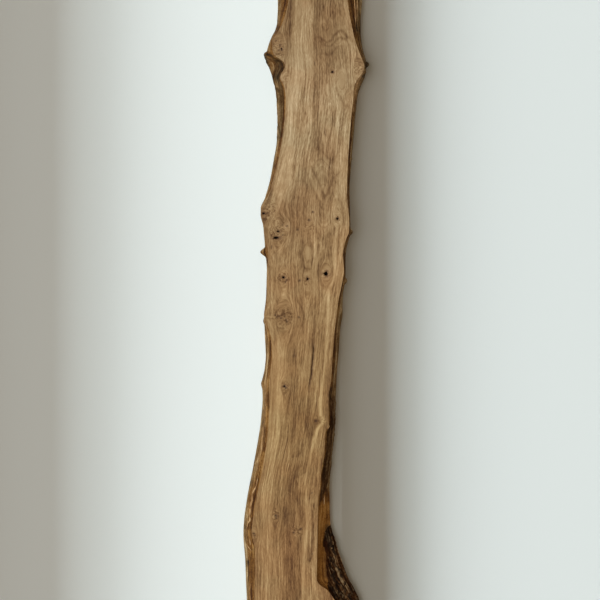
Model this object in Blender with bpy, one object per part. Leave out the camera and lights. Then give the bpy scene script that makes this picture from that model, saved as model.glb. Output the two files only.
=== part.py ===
"""A live-edge oak plank, two metres long, lying on its wide back face.

The plank is one sawn slice of a small trunk. Its front face is sawn flat and is narrower than
its back face, so the round outside of the trunk, the wane, shows along both long edges.
The trunk's swellings, its short branch stubs, a bark pocket and the open knots are all part
of the one solid.
"""

import bisect
import math

import bmesh
import bpy
import numpy as np
from mathutils import Matrix, Vector, noise

MM = 0.001

# Driving dimensions, in millimetres. "Along" is measured from the butt end, "across" from a
# straight line down the middle of the trunk, and "height" from the back face.
LENGTH = 2000.0
THICKNESS = 50.0
WIDEST_HEIGHT = 14.0
BACK_EDGE_INSET = 5.0
STATION_STEP = 13.0
FINE_STEP = 6.5
FINE_REACH = 22.0

# The four long edges, each as (along, across). The outlines are the trunk's outside as seen
# from the front, and the arrises are where the sawn front face ends.
LEFT_OUTLINE = (
    (0, -175.5), (70, -178), (190, -184), (271, -188), (310, -186), (370, -177.5),
    (460, -160.5), (550, -144), (610, -136.5), (679, -131), (721, -132), (760, -125),
    (805, -121.5), (880, -125), (922, -127), (946, -124), (985, -119), (1060, -119),
    (1114, -122), (1150, -124), (1195, -129), (1228, -137), (1246, -137), (1279, -124),
    (1330, -109), (1390, -97), (1450, -89), (1510, -86), (1585, -90), (1630, -98),
    (1672, -112), (1690, -121), (1711, -120), (1735, -115), (1765, -103), (1786, -92),
    (1810, -87), (1870, -86), (2000, -88),
)
LEFT_ARRIS = (
    (0, -156), (70, -155), (160, -153), (220, -153), (250, -159), (270, -163),
    (290, -162), (330, -156), (370, -150.5), (430, -137), (490, -126), (550, -117),
    (610, -112.5), (670, -110.5), (715, -111), (760, -106.5), (805, -102), (850, -104),
    (880, -111), (895, -117), (910, -123), (922, -125), (934, -123.5), (970, -118.5),
    (1045, -118), (1066, -117), (1090, -113), (1114, -114), (1135, -118.5), (1165, -123.5),
    (1195, -128), (1228, -135.5), (1246, -135.5), (1260, -129), (1285, -112.5),
    (1345, -94.5), (1405, -80), (1465, -70), (1525, -63), (1570, -61), (1606, -64.5),
    (1624, -72), (1636, -78), (1654, -72), (1669, -66), (1681, -67.5), (1693, -78),
    (1705, -96), (1720, -100.5), (1750, -102), (1765, -93), (1786, -78), (1810, -67.5),
    (1840, -58.5), (1870, -52.5), (1930, -45), (2000, -42),
)
RIGHT_ARRIS = (
    (0, 118), (40, 102), (70, 85.5), (88, 73.5), (100, 63), (118, 39), (130, 32.5),
    (145, 32), (190, 33), (280, 35), (370, 37), (400, 41), (460, 46.5), (520, 56),
    (574, 58.5), (595, 67.5), (640, 67.5), (685, 69), (730, 75), (790, 79), (850, 83.5),
    (910, 90), (970, 97.5), (1000, 104), (1030, 110), (1054, 114), (1105, 111),
    (1135, 115), (1156, 121.5), (1174, 129), (1198, 130), (1240, 127), (1285, 123),
    (1330, 123.5), (1390, 126), (1450, 130.5), (1510, 135), (1570, 141), (1606, 144),
    (1624, 150), (1645, 165), (1657, 172.5), (1672, 175), (1690, 169), (1720, 157.5),
    (1750, 147), (1780, 140), (1810, 133.5), (1870, 125.5), (2000, 121.5),
)
RIGHT_OUTLINE = (
    (0, 183), (40, 170), (70, 157.5), (100, 144), (130, 127.5), (190, 105), (250, 85.5),
    (290, 75), (340, 72), (400, 72), (460, 75), (520, 81), (580, 87), (670, 90),
    (730, 94), (790, 97), (850, 100.5), (895, 106), (930, 111), (952, 111), (985, 112),
    (1015, 117), (1045, 119.5), (1090, 119), (1120, 121), (1150, 128), (1174, 133.5),
    (1200, 134), (1240, 132.5), (1300, 132), (1360, 135), (1420, 139), (1480, 145),
    (1540, 151.5), (1585, 157), (1615, 166.5), (1645, 180), (1670, 184.5), (1690, 183),
    (1720, 174), (1750, 168), (1780, 165), (1810, 165), (1870, 169.5), (2000, 171),
)

# How the wane falls from the arris to the widest line, as (along, share of the way out, share
# of the height left) of its middle point. Both at 0.5 is a straight slope. A small second
# share is a steep drop with a shelf below it, as at the root flare and the bark pocket.
LEFT_SLOPE = ((0, 0.58, 0.55), (1600, 0.58, 0.55), (1640, 0.42, 0.3), (1690, 0.42, 0.3),
              (1730, 0.58, 0.55), (2000, 0.58, 0.55))
RIGHT_SLOPE = ((0, 0.3, 0.38), (100, 0.26, 0.34), (230, 0.3, 0.3), (330, 0.55, 0.5),
               (2000, 0.55, 0.5))

# Branch stubs on the wane, each as side, along, height, radius, how far it stands out, and
# the power of its taper: 1 and more is a thorn, under 1 is a blunt broken twig.
LEFT, RIGHT = -1, 1
STUBS = (
    (LEFT, 1705, 28, 18, 21, 0.6),
    (LEFT, 1114, 22, 22, 18, 1.3),
    (RIGHT, 1680, 24, 12, 12, 0.6),
    (RIGHT, 1652, 34, 9, 6, 0.6),
    (RIGHT, 1174, 25, 14, 8, 0.8),
    (RIGHT, 1027, 22, 15, 8, 0.8),
    (LEFT, 905, 24, 14, 4, 0.8),
    (LEFT, 716, 20, 16, 4, 0.8),
    (RIGHT, 940, 26, 18, 4, 0.8),
    (LEFT, 445, 24, 12, 5, 0.6),
    (RIGHT, 1395, 22, 11, 4, 0.8),
)
STUB_SECTION_STRETCH = 1.25

# Where the bark is still on, each as side, first and last along, the share of the way out
# at which it begins, and how thick it stands. The first patch runs off the butt end.
BARK_PATCHES = (
    (RIGHT, -50, 250, 0.36, 6.0),
    (RIGHT, 375, 690, 0.06, 3.5),
    (LEFT, 1440, 1660, 0.3, 2.5),
)
BARK_FADE = 30.0
BARK_EDGE = 0.14

# Open knots in the front face, each as along, across, half length, half width and depth.
OPEN_KNOTS = (
    (1051, 60, 8, 7.5, 24),
    (1158, -90, 5, 9, 15),
    (1178, -82, 4, 5, 7),
    (1038, -67, 5.5, 5.5, 11),
    (1033, 4.5, 6.5, 4.5, 9),
    (1214, 94.5, 5.5, 5, 9),
    (1230, -127, 4.5, 6, 7),
    (1654, 79.5, 4.5, 6.5, 6),
    (1724, -73.5, 6, 5.5, 6),
    (711, -64.5, 7.5, 9, 4),
)
KNOT_SIDES = 12
KNOT_RINGS = 6

# Vertices in one cross-section.
FACE_COLUMNS = 6
WANE_ROWS = 7
BACK_COLUMNS = 3

OAK_COLOUR = (0.40, 0.27, 0.155, 1.0)


def clear_scene():
    for thing in list(bpy.data.objects):
        bpy.data.objects.remove(thing, do_unlink=True)


def smooth_through(points, column=1):
    """A function of the distance along that passes through the points without overshoot."""
    along = [float(p[0]) for p in points]
    value = [float(p[column]) for p in points]
    gaps = [b - a for a, b in zip(along, along[1:])]
    rises = [(b - a) / gap for a, b, gap in zip(value, value[1:], gaps)]
    slopes = [rises[0]]
    for before, after in zip(rises, rises[1:]):
        same_way = before * after > 0
        slopes.append(2 * before * after / (before + after) if same_way else 0.0)
    slopes.append(rises[-1])

    def at(where):
        i = min(max(bisect.bisect_right(along, where) - 1, 0), len(gaps) - 1)
        t = min(max((where - along[i]) / gaps[i], 0.0), 1.0)
        from_value = (1 + 2 * t) * (1 - t) ** 2 * value[i]
        to_value = t * t * (3 - 2 * t) * value[i + 1]
        bend = gaps[i] * (t * (1 - t) ** 2 * slopes[i] - t * t * (1 - t) * slopes[i + 1])
        return from_value + to_value + bend

    return at


def ease(low, high, x):
    """0 below low, 1 above high, and a smooth step between them."""
    t = min(max((x - low) / (high - low), 0.0), 1.0)
    return t * t * (3 - 2 * t)


def stations():
    """Distances along at which the plank has a cross-section, closer together at the stubs."""
    busy = [stub[1] for stub in STUBS]
    places = [0.0]
    while places[-1] < LENGTH:
        near = any(abs(places[-1] + FINE_STEP - spot) < FINE_REACH for spot in busy)
        places.append(places[-1] + (FINE_STEP if near else STATION_STEP))
    count = len(places) - 1
    overshoot = places[-1] - LENGTH
    return [place - overshoot * i / count for i, place in enumerate(places)]


def bark_thickness(side, along, share):
    """How thick the bark is at this distance along, at this share of the way out."""
    thickness = 0.0
    for patch_side, first, last, start, thick in BARK_PATCHES:
        if patch_side == side:
            inside = ease(first, first + BARK_FADE, along) * (1 - ease(last - BARK_FADE, last, along))
            thickness = max(thickness, thick * inside * ease(start, start + BARK_EDGE, share))
    return thickness


def stub_height(side, along, height):
    """How far the branch stubs lift the wane at this place."""
    lift = 0.0
    for stub_side, stub_along, stub_level, radius, out, taper in STUBS:
        if stub_side == side:
            across_grain = (height - stub_level) * STUB_SECTION_STRETCH
            far = math.hypot(along - stub_along, across_grain) / radius
            if far < 1:
                lift = max(lift, out * (0.5 + 0.5 * math.cos(math.pi * far)) ** taper)
    return lift


def wane_relief(side, along, height, share):
    """Lumps, long ridges and bark plates of the trunk's outside, outwards, in millimetres.

    share is 0 at the arris, where the relief fades away, and 1 at the widest line.
    """
    lumps = 2.2 * noise.noise(Vector((along / 85, height / 40, 7.3 * side)))
    ridges = 1.1 * noise.noise(Vector((along / 190, height / 9, 19.1 * side)))
    bark = bark_thickness(side, along, share)
    plates = bark * (0.45 + 0.55 * noise.noise(Vector((along / 26, height / 8, 31.7 * side))))
    return ease(0.0, 0.25, share) * (lumps + ridges) + plates


def wane(side, along, edges):
    """Points (across, height) of one edge of the section, from the arris to the back edge."""
    arris, outline, way_out, way_down = edges
    x_arris, x_out = arris(along), outline(along)
    level = WIDEST_HEIGHT + 4.0 * noise.noise(Vector((along / 120, 3.7 * side, 0.5)))
    x_mid = x_arris + way_out(along) * (x_out - x_arris)
    z_mid = level + way_down(along) * (THICKNESS - level)
    points = []
    for row in range(WANE_ROWS + 1):
        t = row / WANE_ROWS
        first, middle, last = (1 - t) * (1 - 2 * t), 4 * t * (1 - t), t * (2 * t - 1)
        x = first * x_arris + middle * x_mid + last * x_out
        z = first * THICKNESS + middle * z_mid + last * level
        out = wane_relief(side, along, z, t) + stub_height(side, along, z)
        steepness = (THICKNESS - level) / math.hypot(THICKNESS - level, x_out - x_arris)
        lift = out * math.sqrt(1 - steepness**2) if 0 < row else 0.0
        points.append((x + side * out * steepness, min(z + lift, THICKNESS - 0.4 * row)))
    x_last = points[-1][0]
    points.append((x_last - side * 0.3 * BACK_EDGE_INSET, 0.45 * level))
    points.append((x_last - side * BACK_EDGE_INSET, 0.0))
    return points


def between(start, end, columns):
    """Evenly spaced points between two points of the section, without either of them."""
    shares = [i / columns for i in range(1, columns)]
    return [tuple(a + (b - a) * share for a, b in zip(start, end)) for share in shares]


def section(along, left_edges, right_edges):
    """The whole cross-section, round from the left arris over the front face."""
    left = wane(LEFT, along, left_edges)
    right = wane(RIGHT, along, right_edges)
    front = between(left[0], right[0], FACE_COLUMNS)
    back = between(right[-1], left[-1], BACK_COLUMNS)
    return [left[0], *front, *right, *back, *reversed(left[1:])]


def trunk_slice():
    """The plank as a bmesh: one ring of vertices per station, skinned and capped."""
    left_edges = [smooth_through(LEFT_ARRIS), smooth_through(LEFT_OUTLINE),
                  smooth_through(LEFT_SLOPE, 1), smooth_through(LEFT_SLOPE, 2)]
    right_edges = [smooth_through(RIGHT_ARRIS), smooth_through(RIGHT_OUTLINE),
                   smooth_through(RIGHT_SLOPE, 1), smooth_through(RIGHT_SLOPE, 2)]
    shape = bmesh.new()
    rings = []
    for along in stations():
        ring = section(along, left_edges, right_edges)
        rings.append([shape.verts.new((x * MM, along * MM, z * MM)) for x, z in ring])
    for near, far in zip(rings, rings[1:]):
        for i in range(len(near)):
            j = (i + 1) % len(near)
            shape.faces.new((near[i], near[j], far[j], far[i]))
    shape.faces.new(list(reversed(rings[0])))
    shape.faces.new(rings[-1])
    bmesh.ops.recalc_face_normals(shape, faces=shape.faces)
    return shape


def knot_cutter(along, across, half_length, half_width, depth):
    """A pointed egg that sinks into the front face and leaves an open knot."""
    shape = bmesh.new()
    bmesh.ops.create_uvsphere(shape, u_segments=KNOT_SIDES, v_segments=KNOT_RINGS, radius=1.0)
    bmesh.ops.rotate(shape, verts=shape.verts, matrix=Matrix.Rotation(math.pi / KNOT_SIDES, 3, "Z"))
    bmesh.ops.scale(shape, verts=shape.verts, vec=(half_width * MM, half_length * MM, depth * MM))
    bmesh.ops.translate(shape, verts=shape.verts, vec=(across * MM, along * MM, THICKNESS * MM))
    return shape


def object_from(shape, name):
    mesh = bpy.data.meshes.new(name)
    shape.to_mesh(mesh)
    shape.free()
    made = bpy.data.objects.new(name, mesh)
    bpy.context.scene.collection.objects.link(made)
    return made


def cut_open_knots(plank):
    """Cuts every open knot, applies the cuts, and removes the cutters."""
    cutters = bpy.data.collections.new("knot_cutters")
    bpy.context.scene.collection.children.link(cutters)
    for number, knot in enumerate(OPEN_KNOTS):
        cutter = object_from(knot_cutter(*knot), f"knot_cutter_{number}")
        cutter.hide_render = True
        cutter.display_type = "WIRE"
        bpy.context.scene.collection.objects.unlink(cutter)
        cutters.objects.link(cutter)
    cut = plank.modifiers.new("open_knots", "BOOLEAN")
    cut.operation = "DIFFERENCE"
    cut.operand_type = "COLLECTION"
    cut.collection = cutters
    cut.solver = "EXACT"
    evaluated = plank.evaluated_get(bpy.context.evaluated_depsgraph_get())
    plank.data = bpy.data.meshes.new_from_object(evaluated)
    plank.modifiers.remove(cut)
    for cutter in list(cutters.objects):
        bpy.data.objects.remove(cutter, do_unlink=True)
    bpy.data.collections.remove(cutters)


def centre_on_floor(plank):
    """Moves the mesh so that its box stands on the origin, centred in plan."""
    corners = np.array([vertex.co for vertex in plank.data.vertices])
    low, high = corners.min(0), corners.max(0)
    middle = (low + high) / 2
    plank.data.transform(Matrix.Translation((-middle[0], -middle[1], -low[2])))


def oak_material():
    material = bpy.data.materials.new("oak")
    material.use_nodes = True
    shader = material.node_tree.nodes["Principled BSDF"]
    shader.inputs["Base Color"].default_value = OAK_COLOUR
    shader.inputs["Roughness"].default_value = 0.7
    shader.inputs["Metallic"].default_value = 0.0
    return material


def main():
    clear_scene()
    plank = object_from(trunk_slice(), "oak_plank")
    cut_open_knots(plank)
    centre_on_floor(plank)
    plank.data.materials.clear()
    plank.data.materials.append(oak_material())


main()
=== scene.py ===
# %% [markdown]
# # A live-edge oak plank
#
# The real plank is one slice, sawn lengthwise from a small oak trunk and left as it grew. The two
# long edges keep the round outside of the trunk, with branch stubs and some bark on them, and
# the sawn face shows knots, cracks and a grain that flows round the knots.
#
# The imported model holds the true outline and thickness, but its facets are coarse. This lesson
# makes a fine mesh of the same plank, stores on it how the grain runs, and builds the finishes
# from that grain, so that colour and relief follow the wood as they do on a real board.

import bpy
import numpy as np
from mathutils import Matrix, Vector, noise


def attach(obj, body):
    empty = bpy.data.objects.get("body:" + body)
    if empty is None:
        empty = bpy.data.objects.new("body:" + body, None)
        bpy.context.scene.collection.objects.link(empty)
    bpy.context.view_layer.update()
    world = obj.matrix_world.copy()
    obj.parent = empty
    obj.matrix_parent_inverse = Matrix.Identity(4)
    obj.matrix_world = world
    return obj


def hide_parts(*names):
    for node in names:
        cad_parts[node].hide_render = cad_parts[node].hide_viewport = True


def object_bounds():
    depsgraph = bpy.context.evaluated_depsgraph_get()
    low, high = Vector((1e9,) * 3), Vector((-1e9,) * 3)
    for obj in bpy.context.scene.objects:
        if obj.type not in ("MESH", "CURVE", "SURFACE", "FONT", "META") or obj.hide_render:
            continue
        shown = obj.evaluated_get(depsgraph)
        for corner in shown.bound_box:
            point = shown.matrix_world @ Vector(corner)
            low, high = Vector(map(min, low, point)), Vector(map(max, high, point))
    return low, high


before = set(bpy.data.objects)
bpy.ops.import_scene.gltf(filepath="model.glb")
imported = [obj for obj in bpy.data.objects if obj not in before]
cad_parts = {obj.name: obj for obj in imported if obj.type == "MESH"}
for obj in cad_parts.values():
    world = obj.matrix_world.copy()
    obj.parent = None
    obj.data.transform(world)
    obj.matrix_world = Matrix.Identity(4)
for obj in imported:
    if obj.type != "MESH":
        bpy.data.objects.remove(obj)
cad_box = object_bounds()
cad_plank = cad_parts["oak_plank"]
print("packed plank, in metres:", [round(high - low, 4) for low, high in zip(*cad_box)])

# %% [markdown]
# ## The plank's driving sizes
#
# "Along" is measured in millimetres from the butt end, "across" from a straight line down the
# middle of the trunk, and "height" from the back face. The four long edges are tables of
# (along, across). The outlines are the trunk's outside, and the arrises are the sharp corners
# where the sawn face ends. They are the same tables that the solid was made from, because the
# fine mesh has to fill the same space.

# %% Sizes and the four long edges
MM = 0.001
LENGTH = 2000.0
THICKNESS = 50.0
WIDEST_HEIGHT = 14.0
BACK_EDGE_INSET = 5.0
LEFT, RIGHT = -1, 1

LEFT_OUTLINE = (
    (0, -175.5), (70, -178), (190, -184), (271, -188), (310, -186), (370, -177.5),
    (460, -160.5), (550, -144), (610, -136.5), (679, -131), (721, -132), (760, -125),
    (805, -121.5), (880, -125), (922, -127), (946, -124), (985, -119), (1060, -119),
    (1114, -122), (1150, -124), (1195, -129), (1228, -137), (1246, -137), (1279, -124),
    (1330, -109), (1390, -97), (1450, -89), (1510, -86), (1585, -90), (1630, -98),
    (1672, -112), (1690, -121), (1711, -120), (1735, -115), (1765, -103), (1786, -92),
    (1810, -87), (1870, -86), (2000, -88),
)
LEFT_ARRIS = (
    (0, -156), (70, -155), (160, -153), (220, -153), (250, -159), (270, -163),
    (290, -162), (330, -156), (370, -150.5), (430, -137), (490, -126), (550, -117),
    (610, -112.5), (670, -110.5), (715, -111), (760, -106.5), (805, -102), (850, -104),
    (880, -111), (895, -117), (910, -123), (922, -125), (934, -123.5), (970, -118.5),
    (1045, -118), (1066, -117), (1090, -113), (1114, -114), (1135, -118.5), (1165, -123.5),
    (1195, -128), (1228, -135.5), (1246, -135.5), (1260, -129), (1285, -112.5),
    (1345, -94.5), (1405, -80), (1465, -70), (1525, -63), (1570, -61), (1606, -64.5),
    (1624, -72), (1636, -78), (1654, -72), (1669, -66), (1681, -67.5), (1693, -78),
    (1705, -96), (1720, -100.5), (1750, -102), (1765, -93), (1786, -78), (1810, -67.5),
    (1840, -58.5), (1870, -52.5), (1930, -45), (2000, -42),
)
RIGHT_ARRIS = (
    (0, 118), (40, 102), (70, 85.5), (88, 73.5), (100, 63), (118, 39), (130, 32.5),
    (145, 32), (190, 33), (280, 35), (370, 37), (400, 41), (460, 46.5), (520, 56),
    (574, 58.5), (595, 67.5), (640, 67.5), (685, 69), (730, 75), (790, 79), (850, 83.5),
    (910, 90), (970, 97.5), (1000, 104), (1030, 110), (1054, 114), (1105, 111),
    (1135, 115), (1156, 121.5), (1174, 129), (1198, 130), (1240, 127), (1285, 123),
    (1330, 123.5), (1390, 126), (1450, 130.5), (1510, 135), (1570, 141), (1606, 144),
    (1624, 150), (1645, 165), (1657, 172.5), (1672, 175), (1690, 169), (1720, 157.5),
    (1750, 147), (1780, 140), (1810, 133.5), (1870, 125.5), (2000, 121.5),
)
RIGHT_OUTLINE = (
    (0, 183), (40, 170), (70, 157.5), (100, 144), (130, 127.5), (190, 105), (250, 85.5),
    (290, 75), (340, 72), (400, 72), (460, 75), (520, 81), (580, 87), (670, 90),
    (730, 94), (790, 97), (850, 100.5), (895, 106), (930, 111), (952, 111), (985, 112),
    (1015, 117), (1045, 119.5), (1090, 119), (1120, 121), (1150, 128), (1174, 133.5),
    (1200, 134), (1240, 132.5), (1300, 132), (1360, 135), (1420, 139), (1480, 145),
    (1540, 151.5), (1585, 157), (1615, 166.5), (1645, 180), (1670, 184.5), (1690, 183),
    (1720, 174), (1750, 168), (1780, 165), (1810, 165), (1870, 169.5), (2000, 171),
)
LEFT_SLOPE = ((0, 0.58, 0.55), (1600, 0.58, 0.55), (1640, 0.42, 0.3), (1690, 0.42, 0.3),
              (1730, 0.58, 0.55), (2000, 0.58, 0.55))
RIGHT_SLOPE = ((0, 0.3, 0.38), (100, 0.26, 0.34), (230, 0.3, 0.3), (330, 0.55, 0.5),
               (2000, 0.55, 0.5))

# %% Branch stubs, bark and open knots
STUBS = (  # side, along, height, radius, how far it stands out, power of its taper
    (LEFT, 1703, 28, 18, 21, 0.4),
    (LEFT, 1114, 22, 22, 18, 1.3),
    (RIGHT, 1680, 24, 12, 12, 0.6),
    (RIGHT, 1652, 34, 9, 6, 0.6),
    (RIGHT, 1174, 25, 14, 8, 0.8),
    (RIGHT, 1027, 22, 15, 8, 0.8),
    (LEFT, 905, 24, 14, 4, 0.8),
    (LEFT, 716, 20, 16, 4, 0.8),
    (RIGHT, 940, 26, 18, 4, 0.8),
    (LEFT, 445, 24, 12, 5, 0.6),
    (RIGHT, 1395, 22, 11, 4, 0.8),
)
STUB_SECTION_STRETCH = 1.25
BARK_PATCHES = (  # side, first and last along, inner edge, thickness, later start at the outside
    (RIGHT, -50, 300, ((0, 0.02), (92, 0.03), (98, 0.15), (112, 0.42), (125, 0.54), (160, 0.58),
                       (208, 0.59), (232, 0.5), (266, 0.53), (290, 0.82)), 6.0, 0),
    (RIGHT, 330, 690, ((330, 0.06), (690, 0.06)), 3.5, 110),
    (LEFT, 1440, 1655, ((1440, 0.12), (1655, 0.12)), 2.5, 0),
)
POCKETS = (  # side, along, share of the way out, reach along, reach of the share, darkness, depth
    (LEFT, 1670, 0.16, 26, 0.24, 0.35, 6.0),
    (LEFT, 181, 0.64, 9, 0.18, 0.6, 0.6),
    (LEFT, 285, 0.75, 8, 0.16, 0.3, 0.5),
    (LEFT, 598, 0.62, 12, 0.2, 0.3, 0.6),
    (RIGHT, 445, 0.3, 26, 0.3, 0.2, 1.2),
    (RIGHT, 690, 0.2, 22, 0.3, 0.45, 1.2),
    (RIGHT, 600, 0.5, 30, 0.3, 0.3, 0.8),
    (RIGHT, 1646, 0.6, 10, 0.5, 0.5, 0.8),
    (RIGHT, 1684, 0.95, 10, 0.4, 0.5, 0.0),
)
BARK_FADE = 30.0  # how far along a patch takes to thin out
BARK_EDGE = 0.1  # the same for the share of the way out
OPEN_KNOTS = (  # along, across, half length, half width, depth, share of it that is open
    (1049, 59.5, 6.8, 6.8, 24, 0.86),
    (1157, -90, 3.8, 9, 15, 0.9),
    (1176, -83, 4, 5, 7, 0.66),
    (1038, -67.5, 5.5, 5.5, 11, 0.62),
    (1033, 4.5, 6.5, 4.5, 9, 0.66),
    (1214, 94.5, 5.5, 5, 9, 0.66),
    (1230, -127, 4.5, 6, 7, 0.66),
    (1654, 79.5, 4.5, 6.5, 6, 0.62),
    (1724, -73.5, 6, 5.5, 6, 0.34),
    (711, -64.5, 7.5, 9, 4, 0.4),
)

# %% [markdown]
# ## Curves and noise on whole arrays
#
# The mesh has almost a hundred thousand points, so each step works on whole arrays. A smooth
# curve through the table's points must not overshoot them, or the edge would bulge where the
# trunk is straight, so each slope is the harmonic mean of the rises on its two sides.


# %% Curves and noise
def smooth_curve(points, column=1):
    """A function of the distance along that passes through the points without overshoot."""
    places = np.array([point[0] for point in points], float)
    values = np.array([point[column] for point in points], float)
    gaps = np.diff(places)
    rises = np.diff(values) / gaps
    before, after = rises[:-1], rises[1:]
    same_way = before * after > 0
    mean = 2 * before * after / np.where(same_way, before + after, 1.0)
    slopes = np.concatenate([rises[:1], np.where(same_way, mean, 0.0), rises[-1:]])

    def at(along):
        i = np.clip(np.searchsorted(places, along, side="right") - 1, 0, len(gaps) - 1)
        t = np.clip((along - places[i]) / gaps[i], 0.0, 1.0)
        from_value = (1 + 2 * t) * (1 - t) ** 2 * values[i]
        to_value = t * t * (3 - 2 * t) * values[i + 1]
        bend = gaps[i] * (t * (1 - t) ** 2 * slopes[i] - t * t * (1 - t) * slopes[i + 1])
        return from_value + to_value + bend

    return at


def ease(low, high, x):
    """0 below low, 1 above high, and a smooth step between them."""
    t = np.clip((np.asarray(x, float) - low) / (high - low), 0.0, 1.0)
    return t * t * (3 - 2 * t)


def noise_at(x, y, z):
    """Blender's noise, from about -1 to 1, at whole arrays of places."""
    x, y, z = np.broadcast_arrays(x, y, z)
    values = [noise.noise(place) for place in zip(x.ravel(), y.ravel(), z.ravel())]
    return np.array(values).reshape(x.shape)


# %% [markdown]
# ## Where the tables sit in the shared frame
#
# The solid was moved so that its box is centred over the origin. The butt end tells by how much:
# the leftmost corner of its sawn face is the left arris of the tables at along 0.

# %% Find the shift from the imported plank
corners = np.array([vertex.co for vertex in cad_plank.data.vertices]) / MM
at_butt_top = (corners[:, 1] < corners[:, 1].min() + 0.5) & (corners[:, 2] > THICKNESS - 0.1)
ACROSS_SHIFT = LEFT_ARRIS[0][1] - corners[at_butt_top, 0].min()
print("middle of the box lies at across", round(float(ACROSS_SHIFT), 2), "mm")


def to_frame(along, across, height):
    """Table millimetres as metres in the shared frame, one row for each point."""
    places = np.stack([across - ACROSS_SHIFT, along - LENGTH / 2, height], axis=-1)
    return places * MM


# %% [markdown]
# ## Camera, floor and light
#
# The plank lies down, so the camera looks straight down on it with a long lens. Soft light from
# the left does the work, and a faint warm sky fills the shadow. In the photograph the plank
# stands some way in front of its backdrop, so its shadow there is wide, soft and almost straight,
# while the plank itself is lit from higher up. A studio would light the two apart. Light linking
# does the same here: four suns reach only the floor, and two reach everything but the floor.

# %% Camera
PICTURE_SIDE = 1.8
PICTURE_CENTRE = Vector(to_frame(970.0, -18.0, THICKNESS))  # what the photograph is centred on
CAMERA_HEIGHT = 6.0

camera_data = bpy.data.cameras.new("camera")
camera = bpy.data.objects.new("camera", camera_data)
bpy.context.scene.collection.objects.link(camera)
camera.location = PICTURE_CENTRE + Vector((0, 0, CAMERA_HEIGHT))
camera_data.sensor_fit = "HORIZONTAL"
camera_data.angle = 2 * np.arctan(PICTURE_SIDE / 2 / CAMERA_HEIGHT)
camera_data.clip_end = 100
bpy.context.scene.camera = camera
bpy.context.scene.view_settings.view_transform = "Standard"
print("the picture is", PICTURE_SIDE, "m wide at the plank's face")

# %% Floor
FLOOR_SIDE = 14.0


def make_floor():
    """A large pale matt sheet that the plank lies on."""
    half = FLOOR_SIDE / 2
    mesh = bpy.data.meshes.new("floor")
    mesh.from_pydata([(-half, -half, 0), (half, -half, 0), (half, half, 0), (-half, half, 0)],
                     [], [(0, 1, 2, 3)])
    floor = bpy.data.objects.new("floor", mesh)
    bpy.context.scene.collection.objects.link(floor)
    paint = bpy.data.materials.new("floor_paper")
    paint.use_nodes = True
    shader = paint.node_tree.nodes["Principled BSDF"]
    shader.inputs["Base Color"].default_value = (0.80, 0.81, 0.80, 1.0)
    shader.inputs["Roughness"].default_value = 0.9
    shader.inputs["Specular IOR Level"].default_value = 0.1
    mesh.materials.append(paint)
    return floor


floor = make_floor()

# %% [markdown]
# Studio boards shape the light, and the camera doesn't see them. A long one far to the left
# darkens the backdrop there. Two straight ones, as long and as high as the plank and close to
# it, throw the straight shadow for the low suns, which would otherwise trace every bulge.

# %% Boards that shape the light
SHADE_BOARD = (-0.994, FLOOR_SIDE, 0.090)  # place to the right, length and height, in metres
SHADOW_BOARDS = ((-0.020, LENGTH * MM, THICKNESS * MM), (0.108, LENGTH * MM, THICKNESS * MM))


def upright_board(name, place, length, height):
    """A thin upright board that runs along the plank and that the camera doesn't see."""
    half = length / 2
    mesh = bpy.data.meshes.new(name)
    mesh.from_pydata([(place, -half, 0), (place, half, 0), (place, half, height), (place, -half, height)],
                     [], [(0, 1, 2, 3)])
    board = bpy.data.objects.new(name, mesh)
    bpy.context.scene.collection.objects.link(board)
    board.visible_camera = False
    board.visible_diffuse = False
    board.visible_glossy = False
    mesh.materials.append(floor.data.materials[0])
    return board


shade_board = upright_board("shade_board", *SHADE_BOARD)
shadow_boards = [upright_board(f"shadow_board_{i}", *size) for i, size in enumerate(SHADOW_BOARDS)]


# %% Lights
def linked(name, members, state):
    """A collection that says what a light reaches, or what stands in its way."""
    group = bpy.data.collections.new(name)
    for member in members:
        group.objects.link(member)
    for item in group.collection_objects:
        item.light_linking.link_state = state
    return group


def soft_sun(name, elevation, width, strength, tint, reach, blockers):
    """A sun from the left. Its elevation and its width are in degrees."""
    data = bpy.data.lights.new(name, "SUN")
    data.energy = strength
    data.angle = np.radians(width)
    data.color = tint
    light = bpy.data.objects.new(name, data)
    light.rotation_euler = (0.0, np.radians(elevation - 90.0), 0.0)
    light.light_linking.receiver_collection = reach
    light.light_linking.blocker_collection = blockers
    bpy.context.scene.collection.objects.link(light)


all_boards = [shade_board, *shadow_boards]
for_floor = linked("lights_for_floor", [floor], "INCLUDE")
for_plank = linked("lights_for_plank", [floor], "EXCLUDE")
straight = linked("straight_shadow", shadow_boards, "INCLUDE")
straight_shaded = linked("straight_shadow_and_shade", all_boards, "INCLUDE")
no_boards = linked("no_boards", all_boards, "EXCLUDE")
soft_sun("grazing_floor_sun", 2.54, 2.6, 12.6, (0.94, 1.0, 1.0), for_floor, straight)
soft_sun("low_floor_sun", 8.5, 9.5, 5.83, (0.86, 0.95, 1.0), for_floor, straight_shaded)
soft_sun("middle_floor_sun", 13.0, 18.0, 5.95, (0.80, 0.95, 1.0), for_floor, straight_shaded)
soft_sun("high_floor_sun", 48.0, 50.0, 0.47, (0.93, 1.0, 1.0), for_floor, None)
soft_sun("plank_key", 45.0, 34.0, 2.55, (0.90, 0.95, 1.0), for_plank, no_boards)
soft_sun("plank_top", 88.0, 120.0, 1.03, (0.96, 0.98, 1.0), for_plank, no_boards)

world = bpy.data.worlds.new("studio")
world.use_nodes = True
sky = world.node_tree.nodes["Background"]
sky.inputs["Color"].default_value = (1.0, 0.82, 0.58, 1.0)
sky.inputs["Strength"].default_value = 0.225
bpy.context.scene.world = world
print(len(bpy.data.lights), "suns and a sky")

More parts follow.
